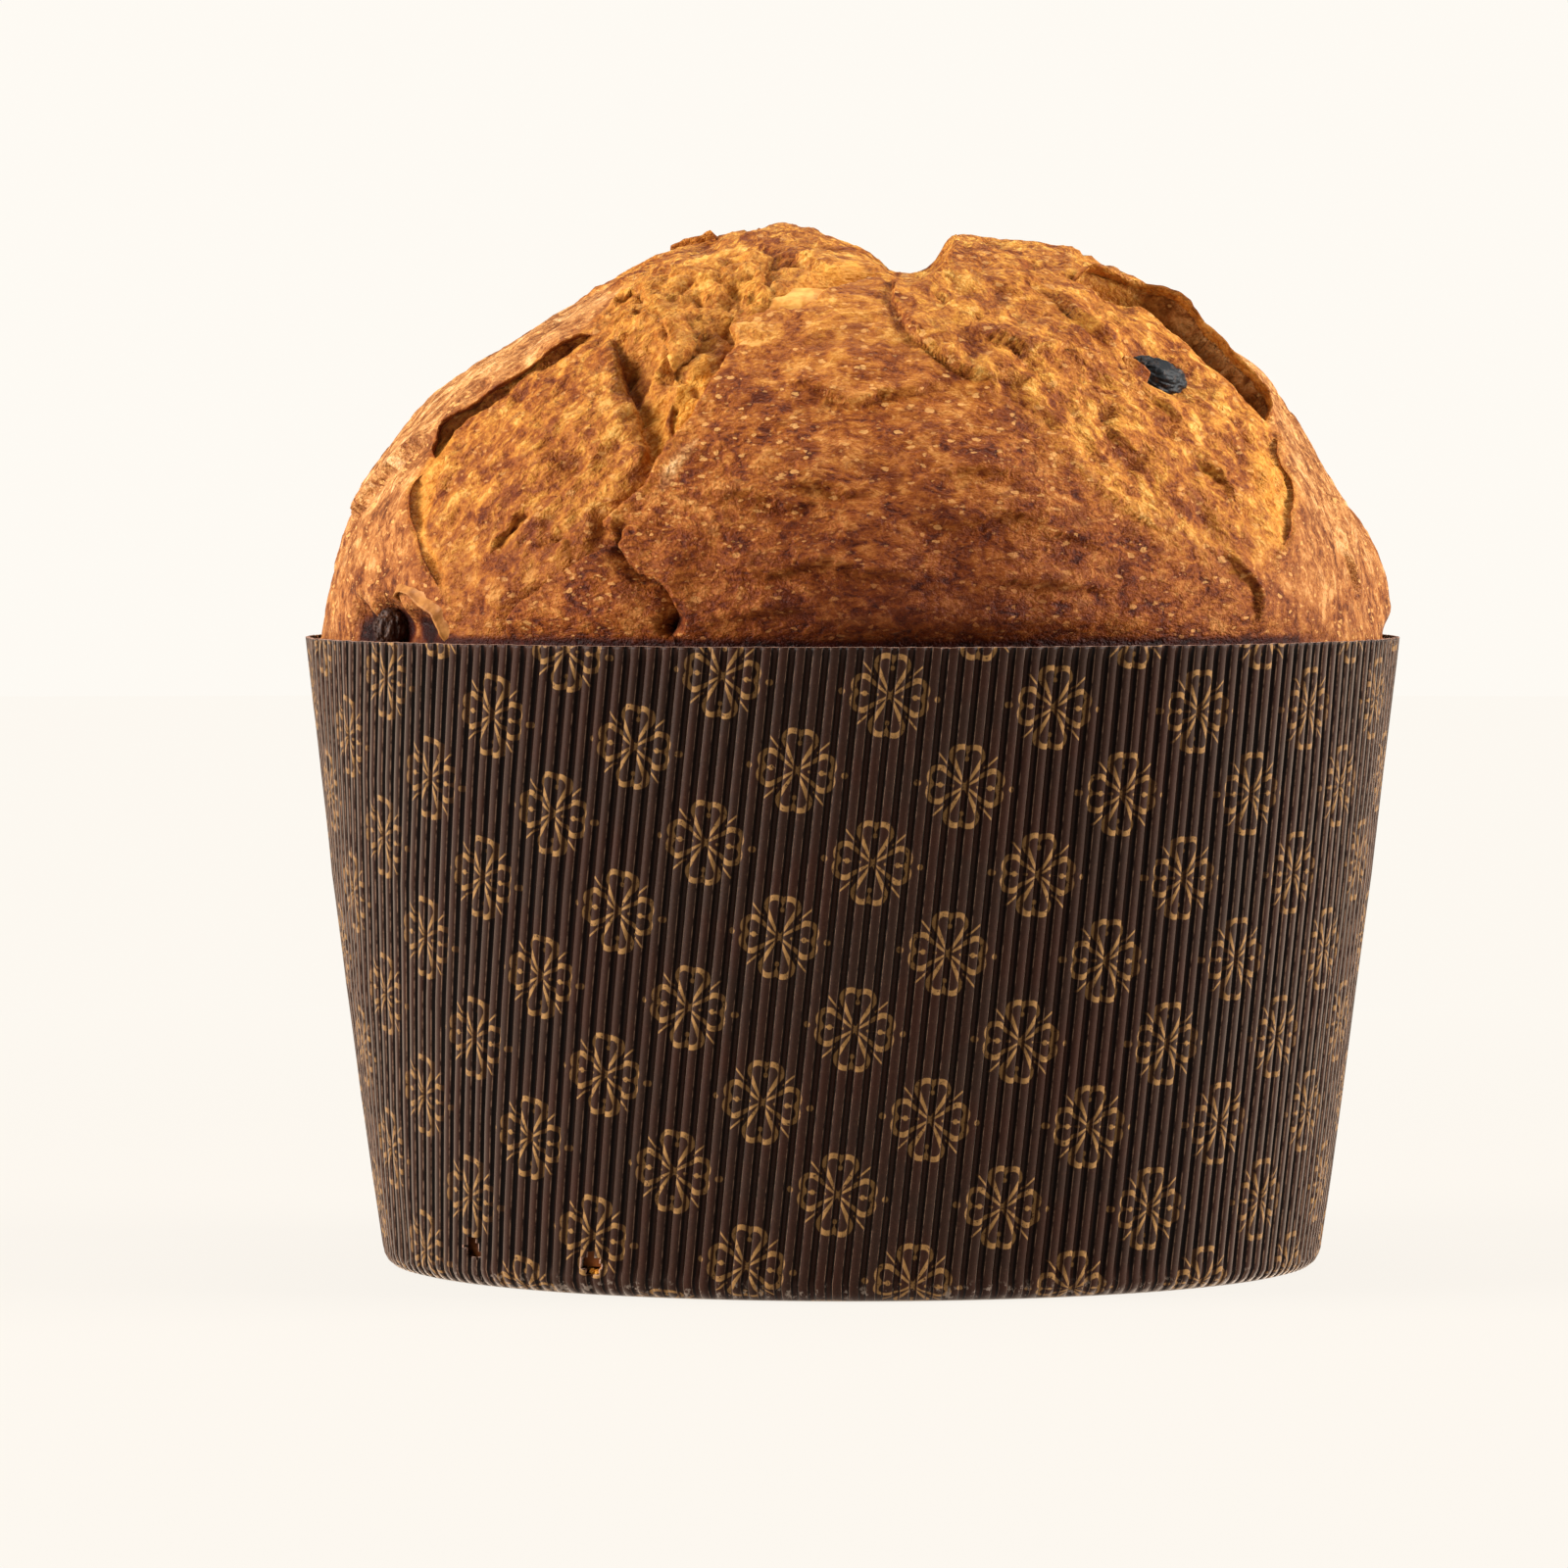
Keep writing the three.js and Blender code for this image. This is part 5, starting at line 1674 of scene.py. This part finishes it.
class PANETTONE_OT_stage(bpy.types.Operator):
    """Sets up the pale floor, the backdrop, the soft lights and the camera"""

    bl_idname = "panettone.stage"
    bl_label = "Stage"

    def execute(self, context):
        """Makes everything that isn't the part."""
        scene = context.scene
        scene.view_settings.view_transform = "Standard"
        turn = np.linspace(0, 2 * np.pi, FLOOR_SIDES, endpoint=False)
        rim = np.stack([np.cos(turn), np.sin(turn), np.zeros(FLOOR_SIDES)], -1) * FLOOR_RADIUS
        here = np.arange(FLOOR_SIDES)
        faces = np.stack([here, np.roll(here, -1), np.full(FLOOR_SIDES, FLOOR_SIDES)], -1)
        floor = mesh_piece("studio_floor", np.vstack([rim, [[0, 0, 0]]]), faces, False)
        floor.data.materials.append(floor_finish())
        ball, faces = ball_grid(24, 48)
        backdrop = mesh_piece("studio_backdrop", ball * BACKDROP_RADIUS, faces)
        backdrop.data.materials.append(flat_shader("backdrop_glow", tint(254, 250, 243), 1.0))
        for ray in ("diffuse", "glossy", "transmission", "shadow"):
            setattr(backdrop, "visible_" + ray, False)
        world = bpy.data.worlds.new("studio_fill")
        world.use_nodes = True
        fill = world.node_tree.nodes["Background"].inputs
        fill["Color"].default_value = (*LIGHT_TONE, 1.0)
        fill["Strength"].default_value = 0.2
        scene.world = world
        for softbox in SOFTBOXES:
            area_light(*softbox)
        lens = bpy.data.cameras.new("camera")
        lens.sensor_width = 36.0
        lens.lens = CAMERA_LENS
        lens.clip_start = 0.05
        lens.clip_end = 20.0
        camera = bpy.data.objects.new("camera", lens)
        camera.location = CAMERA_SPOT
        camera.rotation_euler = (math.radians(90.0 - CAMERA_DOWN), 0.0, math.radians(CAMERA_TURN))
        scene.collection.objects.link(camera)
        scene.camera = camera
        return {"FINISHED"}


class PANETTONE_PT_panel(bpy.types.Panel):
    """Lists the panettone's pieces, sizes and colours"""

    bl_idname = "PANETTONE_PT_panel"
    bl_label = "Panettone"
    bl_space_type = "VIEW_3D"
    bl_region_type = "UI"
    bl_category = "Panettone"

    def draw(self, context):
        """A button for each operator, then every size and colour."""
        sizes, colours = settings()
        for operator in PIECES:
            self.layout.operator(operator.bl_idname)
        for group in (sizes, colours):
            for name in group.__annotations__:
                self.layout.prop(group, name)


PIECES = (PANETTONE_OT_stage, PANETTONE_OT_loaf, PANETTONE_OT_mould, PANETTONE_OT_fruit)
CLASSES = (PanettoneSizes, PanettoneColours, *PIECES, PANETTONE_PT_panel)


def register():
    """Registers the classes and gives each scene its sizes and colours."""
    for entry in CLASSES:
        bpy.utils.register_class(entry)
    bpy.types.Scene.panettone_sizes = bpy.props.PointerProperty(type=PanettoneSizes)
    bpy.types.Scene.panettone_colours = bpy.props.PointerProperty(type=PanettoneColours)


def unregister():
    """Takes back what register did, in the opposite order."""
    del bpy.types.Scene.panettone_colours
    del bpy.types.Scene.panettone_sizes
    for entry in reversed(CLASSES):
        bpy.utils.unregister_class(entry)


def main():
    """Registers the add-on, and makes the stage and every piece."""
    register()
    bpy.ops.panettone.stage()
    bpy.ops.panettone.loaf()
    bpy.ops.panettone.mould()
    bpy.ops.panettone.fruit()


if __name__ == "__main__":
    main()
